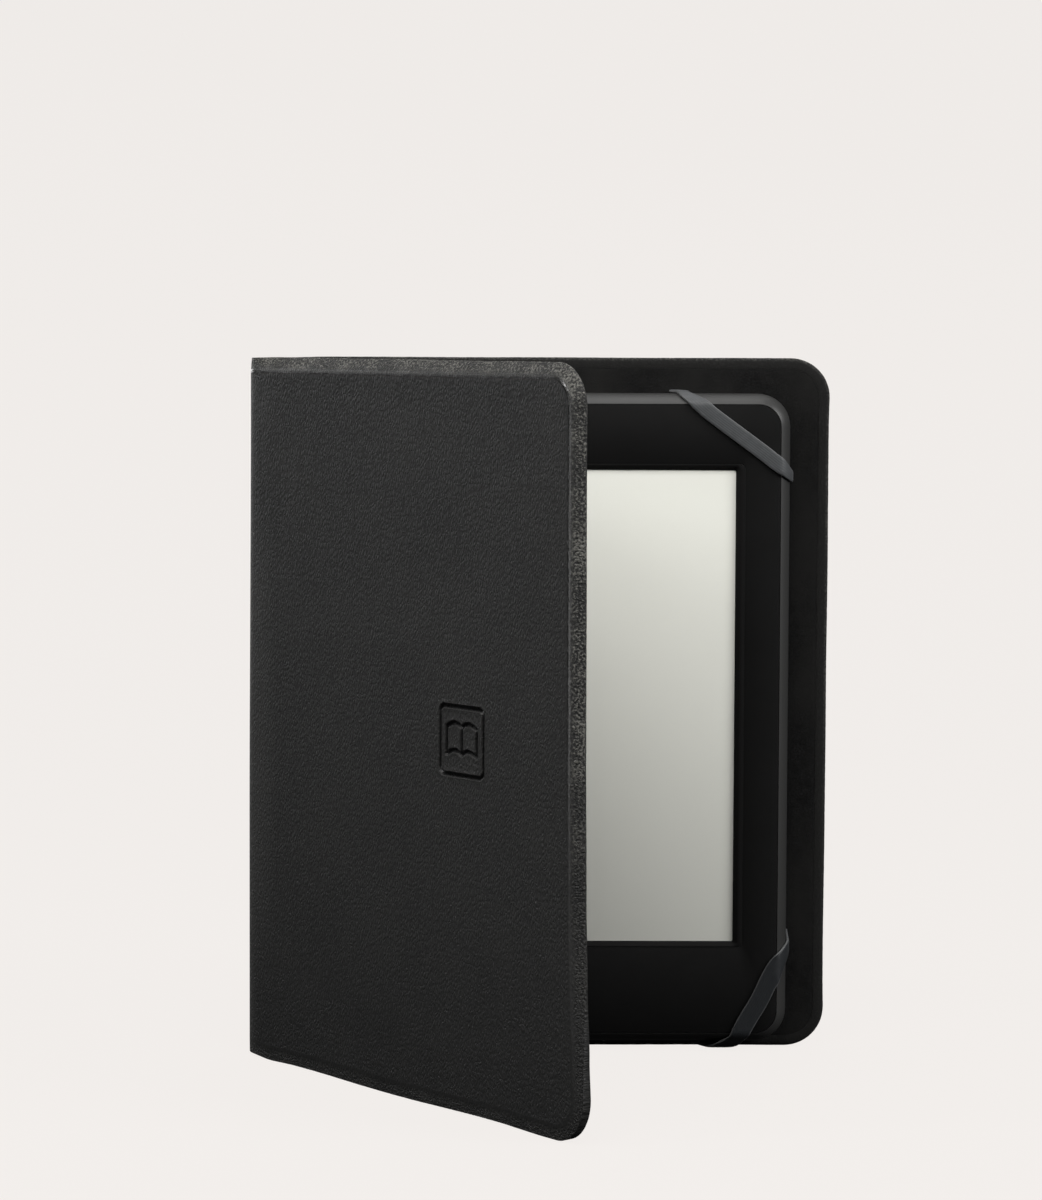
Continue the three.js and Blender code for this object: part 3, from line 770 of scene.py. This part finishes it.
bezel, lens, paper = front_bezel(), lens_frame(), paper_panel()
for piece, node in ((bezel, "front_bezel"), (lens, "infrared_lens_frame"), (paper, "epaper_panel")):
    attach(piece, "back_cover")
    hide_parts(node)

# ---------- elastic corner straps ----------
# A strap is laid out on the reader's surface unrolled flat: u and v count inwards from the right and
# the upper edge, and go on below zero round those edges and back along the sides.
STRAP_HALF_T = 0.33
STRAP_AIR = 0.06
STRAP_STEPS = 90
STRAP_SIDES = 28
STRAP_EASING = 14
STRAP_LIFT = STRAP_HALF_T * 1.3 + STRAP_AIR  # of its middle over the reader


def wrap(distance, height):
    """A distance in from an edge, and a height over the surface, as how far inside the edge and how far
    in front of the front face. Below zero it goes round the edge and back."""
    slope = RIM_START + max(0.0, RIM_ROUND - distance) / RIM_R
    over = max(0.0, slope - pi / 2) * RIM_R
    slope = min(slope, pi / 2)
    lean = slope * smoothstep(RIM_ROUND + 0.9, RIM_ROUND - 0.5, distance)
    inset, depth = rim_point(slope) if distance < RIM_ROUND else (distance, FRONT)
    return inset - height * sin(lean), height * cos(lean) - (depth - FRONT) - over


RIM_LENGTH = (pi / 2 - RIM_START) * RIM_R
STRAP_END = RIM_ROUND - RIM_LENGTH - (READER_T + 0.75 - RIM_R * cos(RIM_START))
TOP_PATH = (
    (29.7, STRAP_END), (27.7, -0.4), (20.8, 5.15), (6.5, 15.65), (-0.4, 21.2), (STRAP_END, 21.7),
)
BOTTOM_PATH = (
    (22.5, STRAP_END), (19.0, -3.0), (13.5, 0.3), (10.1, 6.5), (7.1, 11.4), (4.8, 16.5), (2.9, 20.5),
    (-0.4, 24.2), (STRAP_END, 26.8),
)


def strap_line(path):
    """The strap's middle line, unrolled, evenly stepped and eased where it turns."""
    lengths = [dist(a, b) for a, b in zip(path, path[1:])]
    total = sum(lengths)
    line = []
    for k in range(STRAP_STEPS + 1):
        along = total * k / STRAP_STEPS
        leg = 0
        while leg < len(lengths) - 1 and along > lengths[leg]:
            along -= lengths[leg]
            leg += 1
        line.append(Vector(path[leg]).lerp(Vector(path[leg + 1]), along / lengths[leg]))
    for _ in range(STRAP_EASING):
        eased = [(a + 2 * b + c) / 4 for a, b, c in zip(line, line[1:], line[2:])]
        line = [line[0], *eased, line[-1]]
    return line


def signed_power(value, power):
    return copysign(abs(value) ** power, value)


def strap_section(over_front):
    """Points round the band's section, as shares of its half width and heights over the reader. The
    section is thicker at its turned-over edges, and where it isn't over the front."""
    section = []
    for k in range(STRAP_SIDES):
        a = 2 * pi * k / STRAP_SIDES
        share = signed_power(cos(a), 0.55)
        thick = STRAP_HALF_T * (1 + 0.3 * share ** 6 + 0.25 * (1 - over_front))
        section.append((share, STRAP_LIFT + signed_power(sin(a), 0.75) * thick))
    return section


def on_reader(u, v, height, slack, side_x, side_z):
    """Where a strap's point lies, at the corner that the two signs choose."""
    in_u, front_u = wrap(u, height)
    in_v, front_v = wrap(v, height + slack * smoothstep(1.5, -2, v))
    front = front_u if u < RIM_ROUND else front_v
    x, z = HALF_W - in_u, HALF_H - in_v
    return READER.x + side_x * x, READER_BACK - READER_T - front, READER.z + side_z * z


def strap(name, side_x, side_z, path, slack, full_half_w, shade):
    """A band over one corner. slack is how far it stands off the end wall, and shade how far its colour
    is darkened by painted shade, from 0 to 1."""
    line = strap_line(path)
    points, flat, edge_highlight, rings = [], [], [], []
    run = 0
    for k, spot in enumerate(line):
        before, after = line[max(k - 1, 0)], line[min(k + 1, len(line) - 1)]
        ahead = (after - before).normalized()
        sideways = Vector((-ahead.y, ahead.x))
        run += (spot - line[k - 1]).length if k else 0
        over_front = smoothstep(-1.5, 5, min(spot.x, spot.y))
        half_w = full_half_w * (0.76 + 0.24 * over_front)
        rings.append([len(points) + i for i in range(STRAP_SIDES)])
        for share, height in strap_section(over_front):
            u, v = spot + sideways * (share * half_w)
            points.append(on_reader(u, v, height, slack, side_x, side_z))
            flat.append((run, share * half_w, 0))
            # The edge mark says where the painted highlight along the band's edges lies.
            edge_highlight.append(smoothstep(0.86, 1.0, abs(share)))
    faces = tube_faces(rings) + [tuple(rings[0]), tuple(rings[-1])]
    piece = add_mesh(name, points, faces)
    set_flat(piece, flat)
    set_mark(piece, "edge", edge_highlight)
    set_mark(piece, "shade", [shade] * len(points))
    return piece


straps = []
# The bottom straps are given shade 1: painted shade, standing in for the weaker light low down.
for end, side_z, path, slack, half_w, shade in (
    ("top", 1, TOP_PATH, 0, 2.0, 0),
    ("bottom", -1, BOTTOM_PATH, 1.0, 2.4, 1),
):
    for side_name, side_x in (("right", 1), ("left", -1)):
        node = f"strap_{end}_{side_name}"
        piece = strap("elastic_" + node, side_x, side_z, path, slack, half_w, shade)
        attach(piece, "back_cover")
        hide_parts(node)
        straps.append(piece)
for piece, slot in (
    (skin_rear, "leather"),
    (skin_front, "leather"),
    (lining_rear, "microfibre"),
    (lining_front, "microfibre"),
    (housing, "satin_plastic"),
    (bezel, "matte_plastic"),
    (lens, "gloss_plastic"),
    (paper, "epaper"),
    *((band, "elastic") for band in straps),
):
    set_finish(piece, slot)


# ---------- material helpers ----------
class Look:
    """A node material in the making. Lengths in its patterns are in millimetres."""

    def __init__(self, name, colour=(0.5, 0.5, 0.5), **sockets):
        self.material = bpy.data.materials.new(name)
        self.material.use_nodes = True
        self.tree = self.material.node_tree
        self.shader = self.tree.nodes["Principled BSDF"]
        self.shader.inputs["Base Color"].default_value = (*colour, 1)
        for key, value in sockets.items():
            self.shader.inputs[key.replace("_", " ")].default_value = value

    def node(self, kind, inputs=(), **settings):
        """Adds a node. inputs gives values or other nodes' outputs, by socket name or number."""
        node = self.tree.nodes.new(kind)
        for key, value in settings.items():
            setattr(node, key, value)
        for key, value in dict(inputs).items():
            if isinstance(value, bpy.types.NodeSocket):
                self.tree.links.new(value, node.inputs[key])
            else:
                node.inputs[key].default_value = value
        return node

    def attribute(self, name, output="Vector"):
        return self.node("ShaderNodeAttribute", attribute_name=name).outputs[output]

    def place_mm(self):
        """The point's place on its object, in millimetres."""
        place_m = self.node("ShaderNodeTexCoord").outputs["Object"]
        return self.stretched(place_m, (1 / MM, 1 / MM, 1 / MM))

    def stretched(self, vector, scale):
        return self.node("ShaderNodeMapping", {"Vector": vector, "Scale": scale}).outputs[0]

    def noise(self, vector, size, detail=3, rough=0.55, distortion=0.0, output="Fac"):
        """Cloudy noise from 0 to 1, with lumps about that size across."""
        inputs = {"Vector": vector, "Scale": 1 / size, "Detail": detail, "Roughness": rough}
        inputs["Distortion"] = distortion
        return self.node("ShaderNodeTexNoise", inputs).outputs[output]

    def cells(self, vector, size, feature="DISTANCE_TO_EDGE", output="Distance", random=1.0):
        inputs = {"Vector": vector, "Scale": 1 / size, "Randomness": random}
        return self.node("ShaderNodeTexVoronoi", inputs, feature=feature).outputs[output]

    def waves(self, vector, size, direction, distortion=0.0):
        """Even ridges from 0 to 1, that far apart along X, Y or Z."""
        inputs = {"Vector": vector, "Scale": pi / 10 / size, "Distortion": distortion, "Detail": 1.0}
        settings = {"bands_direction": direction, "wave_profile": "SIN"}
        return self.node("ShaderNodeTexWave", inputs, **settings).outputs["Fac"]

    def calc(self, operation, a, b=0.0, c=0.0, clamp=False):
        node = self.node("ShaderNodeMath", {0: a, 1: b, 2: c}, operation=operation, use_clamp=clamp)
        return node.outputs[0]

    def times(self, product, *factors):
        """All of them multiplied."""
        for factor in factors:
            product = self.calc("MULTIPLY", product, factor)
        return product

    def remap(self, value, low, high, to_low=0.0, to_high=1.0, smooth=False):
        kind = "SMOOTHSTEP" if smooth else "LINEAR"
        inputs = {"Value": value, "From Min": low, "From Max": high, "To Min": to_low, "To Max": to_high}
        return self.node("ShaderNodeMapRange", inputs, interpolation_type=kind).outputs[0]

    def mixed(self, share, a, b):
        """Colour a where share is 0 and colour b where it is 1."""
        a, b = ((*colour, 1) if isinstance(colour, tuple) else colour for colour in (a, b))
        return self.node("ShaderNodeMix", {0: share, 6: a, 7: b}, data_type="RGBA").outputs[2]

    def surface(self, height, depth, colour, roughness):
        """Raises the surface by height times depth, in millimetres, and colours it. Returns the material."""
        bump = self.node("ShaderNodeBump", {"Height": height, "Distance": depth * MM, "Strength": 1.0})
        ends = {"Normal": bump.outputs[0], "Base Color": colour, "Roughness": roughness}
        for socket, value in ends.items():
            self.tree.links.new(value, self.shader.inputs[socket])
        return self.material


def grey(level, tint=(1, 1, 1)):
    """A linear colour from an sRGB level of 0 to 255."""
    value = (level / 255 + 0.055) / 1.055
    return tuple((value ** 2.4) * t for t in tint)


# ---------- materials: the folio ----------
def leather_grain(look, flat, band):
    """The grain's pebbles, wrinkles, crumbs and slow drift, and the height that they add up to."""
    wobble = look.noise(flat, 2.2, 2, 0.5, output="Color")
    squeezed = look.stretched(flat, (1, 0.55, 1))
    bent = look.node("ShaderNodeVectorMath", {0: squeezed, 1: wobble}, operation="ADD").outputs[0]
    pebble = look.remap(look.cells(bent, 0.8), 0.0, 0.4, smooth=True)
    wrinkle = look.noise(look.stretched(bent, (1, 0.8, 1)), 0.4, 3, 0.6)
    crumb = look.noise(flat, 0.62, 2, 0.6)
    drift = look.noise(flat, 9, 2)
    grain = look.calc("MULTIPLY_ADD", pebble, 0.6, look.calc("MULTIPLY_ADD", wrinkle, 1.1, -0.85))
    coarse = look.times(look.calc("SUBTRACT", crumb, 0.5), look.times(band, 3.4))
    height = look.calc("ADD", look.calc("ADD", grain, coarse), look.calc("SUBTRACT", drift, 0.5))
    return pebble, wrinkle, crumb, drift, height


def leather_wear_and_sheen(look, flat):
    """How far the bevel is rubbed by handling, and how far the face is paled by painted light: a painted
    sheen over its middle heights that is strongest near the fold, and a painted highlight along the fold."""
    along, height_up = look.node("ShaderNodeSeparateXYZ", {0: flat}).outputs[:2]
    handled = look.remap(height_up, 30, 115, 0.12, 1.0, smooth=True)
    # Painted light: a painted sheen over the face's middle heights, strongest near the fold, and a painted
    # highlight along the fold itself.
    sheen_heights = look.times(
        look.remap(height_up, 12, 60, smooth=True), look.remap(height_up, 146, 116, smooth=True))
    painted_sheen = look.times(sheen_heights, look.remap(along, 13, 1, 0.08, 0.44, smooth=True))
    painted_fold_highlight = look.remap(along, 3, -2, 0.0, 0.5, smooth=True)
    return handled, painted_sheen, painted_fold_highlight


def leather():
    """The turned edge is stretched thin over the board: a coarser, rubbed grain and a polished shoulder."""
    look = Look("leather", Specular_IOR_Level=0.42)
    flat = look.attribute("flat")
    edge, inside, groove = (look.attribute(mark, "Fac") for mark in ("edge", "inside", "groove"))
    band = look.remap(edge, 0.44, 0.56, smooth=True)
    shoulder = look.times(
        look.remap(edge, 0.03, 0.1, smooth=True), look.remap(edge, 0.38, 0.26, smooth=True))
    handled, painted_sheen, painted_fold_highlight = leather_wear_and_sheen(look, flat)
    flatter = look.times(
        look.remap(groove, 0.3, 0.9, 1.0, 0.1),
        look.remap(shoulder, 0, 1, 1.0, 0.3),
        look.remap(inside, 0, 1, 1.0, 0.3))
    pebble, wrinkle, crumb, drift, height = leather_grain(look, flat, band)

    tone = look.calc("ADD", look.times(pebble, 0.45), look.remap(wrinkle, 0.32, 0.68, 0.0, 0.55))
    face = look.mixed(tone, grey(14), grey(40, (1.0, 0.99, 0.97)))
    mottle = look.remap(look.noise(flat, 26), 0.4, 0.75, 0.0, 0.5)
    face = look.mixed(mottle, face, grey(36, (1.0, 0.98, 0.92)))
    # pale is the tone of the painted sheen on the face's middle and of the painted highlight along the fold.
    pale = grey(60, (1.0, 0.99, 0.95))
    face = look.mixed(painted_fold_highlight, look.mixed(painted_sheen, face, pale), pale)
    pits = look.times(band, look.remap(crumb, 0.5, 0.36, smooth=True), 0.95)
    face = look.mixed(pits, face, grey(7, (1.0, 0.98, 0.9)))
    speck = look.remap(look.calc("ADD", crumb, look.times(drift, 0.4)), 0.66, 0.86, smooth=True)
    rubbed = look.times(look.remap(edge, 0.15, 0.5), handled, speck)
    face = look.mixed(rubbed, face, grey(104, (1.0, 0.98, 0.88)))
    face = look.mixed(inside, face, grey(15, (1.0, 0.97, 0.88)))
    face = look.mixed(look.remap(groove, 0.1, 0.7), face, grey(4))

    rough = look.remap(tone, 0.0, 1.0, 0.66, 0.46)
    rough = look.calc("SUBTRACT", rough, look.times(shoulder, handled, 0.35))
    rough = look.calc("ADD", rough, look.times(inside, 0.4), clamp=True)
    rough = look.calc("SUBTRACT", rough, look.times(groove, 0.3))
    return look.surface(look.times(height, flatter), 0.13, face, rough)


def microfibre():
    look = Look("microfibre", Specular_IOR_Level=0.08, Sheen_Weight=0.04, Sheen_Roughness=0.5)
    flat = look.attribute("flat")
    nap = look.noise(flat, 0.5, 3, 0.7)
    tufts = look.noise(flat, 2.2, 3, 0.6)
    brushed = look.noise(look.stretched(flat, (1, 0.55, 1)), 14)
    pile = look.mixed(look.remap(nap, 0.3, 0.7), grey(8), grey(31))
    pile = look.mixed(look.remap(tufts, 0.38, 0.66, 0.0, 0.6), pile, grey(10))
    pile = look.mixed(look.remap(brushed, 0.35, 0.7), pile, grey(29, (1.0, 0.98, 0.94)))
    return look.surface(nap, 0.09, pile, look.remap(nap, 0.2, 0.8, 0.98, 0.85))


def case_board():
    look = Look("case_board", Specular_IOR_Level=0.2)
    spot = look.place_mm()
    fibre = look.noise(look.stretched(spot, (1, 1, 0.2)), 0.5, 4, 0.7)
    fleck = look.remap(look.cells(spot, 2.2, "F1"), 0.05, 0.12)
    pulp = look.mixed(fibre, grey(128, (1, 0.95, 0.86)), grey(166, (1, 0.95, 0.86)))
    colour = look.mixed(fleck, grey(84), pulp)
    return look.surface(fibre, 0.08, colour, look.remap(fibre, 0.2, 0.8, 0.95, 0.8))


def elastic():
    look = Look("elastic", Specular_IOR_Level=0.5, Sheen_Weight=0.1, Sheen_Roughness=0.35)
    flat = look.attribute("flat")
    ribs = look.waves(flat, 0.28, "X", 0.6)
    yarns = look.waves(flat, 0.55, "Y", 0.4)
    cloud = look.noise(flat, 1.5)
    own_tone = look.mixed(cloud, grey(60, (0.93, 1.0, 1.07)), grey(78, (0.95, 1.0, 1.05)))
    painted_shade_tone = look.mixed(cloud, grey(28, (0.86, 1.0, 1.16)), grey(40, (0.88, 1.0, 1.14)))
    # Where shade is 1 the colour goes to the darker tone: painted shade on the lower straps.
    face = look.mixed(look.attribute("shade", "Fac"), own_tone, painted_shade_tone)
    # The band's edges are lightened: a painted highlight along its turned-over edges.
    edge_highlight = look.times(look.attribute("edge", "Fac"), 0.85)
    colour = look.mixed(edge_highlight, face, grey(100, (0.98, 1.0, 1.02)))
    height = look.calc("ADD", look.times(ribs, 0.5), yarns)
    return look.surface(height, 0.02, colour, look.remap(ribs, 0, 1, 0.56, 0.44))


# ---------- materials: the reader's outside ----------
def moulded(name, low, high, roughness, grain, size, specular=0.5, tint=(1, 1, 1)):
    """Moulded plastic with a fine spark-eroded grain and slight clouding."""
    look = Look(name, Specular_IOR_Level=specular)
    spot = look.place_mm()
    speck = look.noise(spot, size, 3, 0.7)
    cloud = look.noise(spot, 17, 2)
    both = look.calc("ADD", speck, cloud)
    rough = look.remap(both, 0.6, 1.4, roughness + 0.06, roughness - 0.05)
    return look.surface(speck, grain, look.mixed(cloud, grey(low, tint), grey(high, tint)), rough)


def epaper():
    look = Look("epaper", Specular_IOR_Level=0.25)
    spot = look.place_mm()
    grain = look.noise(spot, 0.16, 3, 0.75)
    cloud = look.noise(spot, 22)
    clouding = look.calc("ADD", look.times(grain, 0.6), look.times(cloud, 0.4))
    tint = (1.0, 1.006, 0.93)
    colour = look.mixed(clouding, grey(212, tint), grey(217, tint))
    return look.surface(grain, 0.004, colour, look.remap(grain, 0.2, 0.8, 0.75, 0.6))


def clear_plastic():
    look = Look("clear_plastic", (0.78, 0.8, 0.8), Transmission_Weight=0.7, IOR=1.49)
    haze = look.noise(look.place_mm(), 0.8)
    colour = look.mixed(haze, (0.7, 0.72, 0.72), (0.86, 0.87, 0.87))
    return look.surface(haze, 0.01, colour, look.remap(haze, 0.2, 0.8, 0.18, 0.34))


# ---------- materials: the reader's inside ----------
def circuit_board():
    look = Look("circuit_board", Specular_IOR_Level=0.5)
    spot = look.place_mm()
    face = look.stretched(spot, (1, 0, 1))
    lanes = look.cells(face, 3.2, "F1", "Color", 0.0)
    lane = look.node("ShaderNodeSeparateColor", {0: lanes}).outputs[0]
    across = look.waves(spot, 0.7, "X")
    upward = look.waves(spot, 0.7, "Z")
    turned = look.calc("GREATER_THAN", lane, 0.5)
    trace = look.node("ShaderNodeMix", {0: turned, 2: across, 3: upward}).outputs[0]
    copper = look.remap(trace, 0.52, 0.6)
    vias = look.remap(look.cells(face, 2.6, "F1"), 0.16, 0.13)
    mask = look.mixed(copper, (0.008, 0.07, 0.035), (0.014, 0.125, 0.06))
    colour = look.mixed(vias, mask, (0.62, 0.47, 0.2))
    height = look.calc("ADD", copper, vias)
    return look.surface(height, 0.02, colour, look.remap(copper, 0, 1, 0.42, 0.3))


def foam():
    look = Look("foam", Specular_IOR_Level=0.1)
    pores = look.cells(look.place_mm(), 0.45, "F1")
    colour = look.mixed(look.remap(pores, 0.1, 0.7), grey(20), grey(52))
    return look.surface(pores, 0.12, colour, look.remap(pores, 0, 1, 1.0, 0.88))


def metal(name, low, high, roughness, stroke, pitch):
    """Rolled or turned metal with fine lines along one way."""
    look = Look(name, Metallic=1.0)
    lines = look.noise(look.stretched(look.place_mm(), stroke), pitch, 3, 0.7)
    rough = look.remap(lines, 0.2, 0.8, roughness - 0.06, roughness + 0.1)
    return look.surface(lines, 0.012, look.mixed(lines, grey(low), grey(high)), rough)


def ribbon_film():
    look = Look("ribbon_film", Specular_IOR_Level=0.5)
    spot = look.place_mm()
    copper = look.remap(look.waves(spot, 0.5, "X"), 0.5, 0.58)
    colour = look.mixed(copper, (0.3, 0.13, 0.02), (0.5, 0.24, 0.05))
    rough = look.remap(look.noise(spot, 1.2), 0.3, 0.7, 0.25, 0.36)
    return look.surface(copper, 0.01, colour, rough)


def battery_pouch():
    look = Look("battery_pouch", Metallic=0.75)
    spot = look.place_mm()
    crinkle = look.noise(spot, 3.5, 4, 0.6, 0.6)
    speck = look.noise(spot, 0.3, 2)
    height = look.calc("ADD", crinkle, look.times(speck, 0.1))
    colour = look.mixed(crinkle, grey(150), grey(188))
    return look.surface(height, 0.12, colour, look.remap(speck, 0.2, 0.8, 0.34, 0.48))


looks = {
    "leather": leather(),
    "microfibre": microfibre(),
    "case_board": case_board(),
    "elastic": elastic(),
    "satin_plastic": moulded("satin_plastic", 49, 55, 0.42, 0.012, 0.3, tint=(1.0, 1.0, 0.98)),
    "matte_plastic": moulded("matte_plastic", 16, 21, 0.72, 0.02, 0.22, 0.1),
    "gloss_plastic": moulded("gloss_plastic", 15, 19, 0.66, 0.01, 0.25, 0.1, (1.0, 0.98, 0.98)),
    "epaper": epaper(),
    "circuit_board": circuit_board(),
    "foam": foam(),
    "chassis_metal": metal("chassis_metal", 150, 172, 0.4, (0.06, 1, 1), 0.5),
    "steel": metal("steel", 172, 200, 0.3, (1, 1, 0.2), 0.25),
    "chip_plastic": moulded("chip_plastic", 28, 36, 0.55, 0.02, 0.15, 0.4),
    "connector_plastic": moulded("connector_plastic", 196, 210, 0.45, 0.01, 0.3, tint=(1.0, 0.98, 0.9)),
    "clear_plastic": clear_plastic(),
    "ribbon_film": ribbon_film(),
    "battery_pouch": battery_pouch(),
}


def wear(piece, material):
    piece.data.materials.clear()
    piece.data.materials.append(material)


for piece in bpy.context.scene.objects:
    if piece.type == "MESH" and "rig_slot" in piece:
        wear(piece, looks[piece["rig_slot"]])
for part in frame["record"]["subparts"]:
    wear(frame["nodes"][part["node"]], looks[part["material_slot"]])

# ---------- stage, light and camera ----------
BACKDROP = (0.879, 0.847, 0.823)
BACKDROP_GLOW = 0.975
BACKDROP_PAINT = 0.03  # share of that colour which it reflects
FLOOR_R = 1.9
WALL_H = 3.4
SWEEP_R = 0.9
AIM = (0.0, 0.05, 0.1)  # what all lights point at
WORLD_STRENGTH = 0.015


def bowl():
    """A pale floor that sweeps up all round into a wall and closes overhead."""
    sweep = [
        (FLOOR_R - SWEEP_R * (1 - sin(a)), SWEEP_R * (1 - cos(a)))
        for a in steps(0, pi / 2, 12)[1:]
    ]
    profile = [(0.0, 0.0), (0.5, 0.0), (FLOOR_R - SWEEP_R, 0.0), *sweep]
    profile += [(FLOOR_R, WALL_H - 0.6), (FLOOR_R - 0.3, WALL_H), (0.0, WALL_H)]
    work = bmesh.new()
    line = [work.verts.new((r, 0, z)) for r, z in profile]
    edges = [work.edges.new(pair) for pair in zip(line, line[1:])]
    bmesh.ops.spin(
        work, geom=line + edges, cent=(0, 0, 0), axis=(0, 0, 1), angle=2 * pi, steps=96, use_merge=True)
    bmesh.ops.remove_doubles(work, verts=work.verts, dist=1e-5)
    bmesh.ops.recalc_face_normals(work, faces=work.faces)
    mesh = mesh_from(work, "floor")
    mesh.shade_smooth()
    floor = new_object("floor", mesh)
    # it is seen, but doesn't light the object or show in its gloss
    floor.visible_diffuse = False
    floor.visible_glossy = False
    paint = tuple(c * BACKDROP_PAINT for c in BACKDROP)
    look = Look("backdrop", paint, Roughness=1.0, Specular_IOR_Level=0.0)
    look.shader.inputs["Emission Color"].default_value = (*BACKDROP, 1)
    look.shader.inputs["Emission Strength"].default_value = BACKDROP_GLOW
    wear(floor, look.material)


def area_light(name, spot, size, power, tint=(1, 1, 1)):
    """A soft square light, in metres and watts."""
    data = bpy.data.lights.new(name, "AREA")
    data.size = size
    data.energy = power
    data.color = tint
    lamp = new_object(name, data)
    lamp.location = spot
    lamp.rotation_euler = (Vector(AIM) - Vector(spot)).to_track_quat("-Z", "Y").to_euler()


def lights():
    area_light("key", (-0.06, -0.34, 0.57), 0.4, 2.65, (1.0, 0.985, 0.96))
    area_light("left_key", (-0.72, -0.29, 0.57), 0.16, 2.45)
    area_light("left_low", (-0.95, -0.6, 0.08), 0.5, 2.1)
    area_light("left_back", (-0.9, 0.6, 0.5), 0.5, 0.8)
    area_light("fold_rim", (-0.9, 1.3, 0.4), 0.5, 4.0)
    area_light("overhead", (0.0, 0.1, 0.95), 0.5, 1.7)
    area_light("right_key", (0.9, -0.42, 0.62), 0.5, 9.5)
    area_light("back_fill", (0.3, 1.2, 0.9), 1.0, 5.0)
    world = bpy.data.worlds.new("world")
    world.use_nodes = True
    world.node_tree.nodes["Background"].inputs["Color"].default_value = (1, 1, 1, 1)
    world.node_tree.nodes["Background"].inputs["Strength"].default_value = WORLD_STRENGTH
    bpy.context.scene.world = world


IMAGE_H = 1200
FOCAL_PX = 3985  # in the photograph's 1042x1200 frame
SENSOR = 36
CAMERA = (-20.74, -975.27, 190.43)  # in millimetres
PITCH, YAW, ROLL = (radians(a) for a in (4.0248, 0.882, 0.2446))


def camera():
    data = bpy.data.cameras.new("camera")
    data.sensor_width = SENSOR
    data.lens = SENSOR * FOCAL_PX / IMAGE_H
    data.clip_start, data.clip_end = 0.05, 20
    eye = new_object("camera", data)
    forward = Vector((sin(YAW) * cos(PITCH), cos(YAW) * cos(PITCH), -sin(PITCH)))
    level = Vector((cos(YAW), -sin(YAW), 0))
    upward = level.cross(forward)
    right = cos(ROLL) * level + sin(ROLL) * upward
    upward = cos(ROLL) * upward - sin(ROLL) * level
    turn = Matrix((right, upward, -forward)).transposed().to_4x4()
    eye.matrix_world = Matrix.Translation(Vector(CAMERA) * MM) @ turn
    bpy.context.scene.camera = eye


bowl()
lights()
camera()
bpy.context.scene.view_settings.view_transform = "Standard"
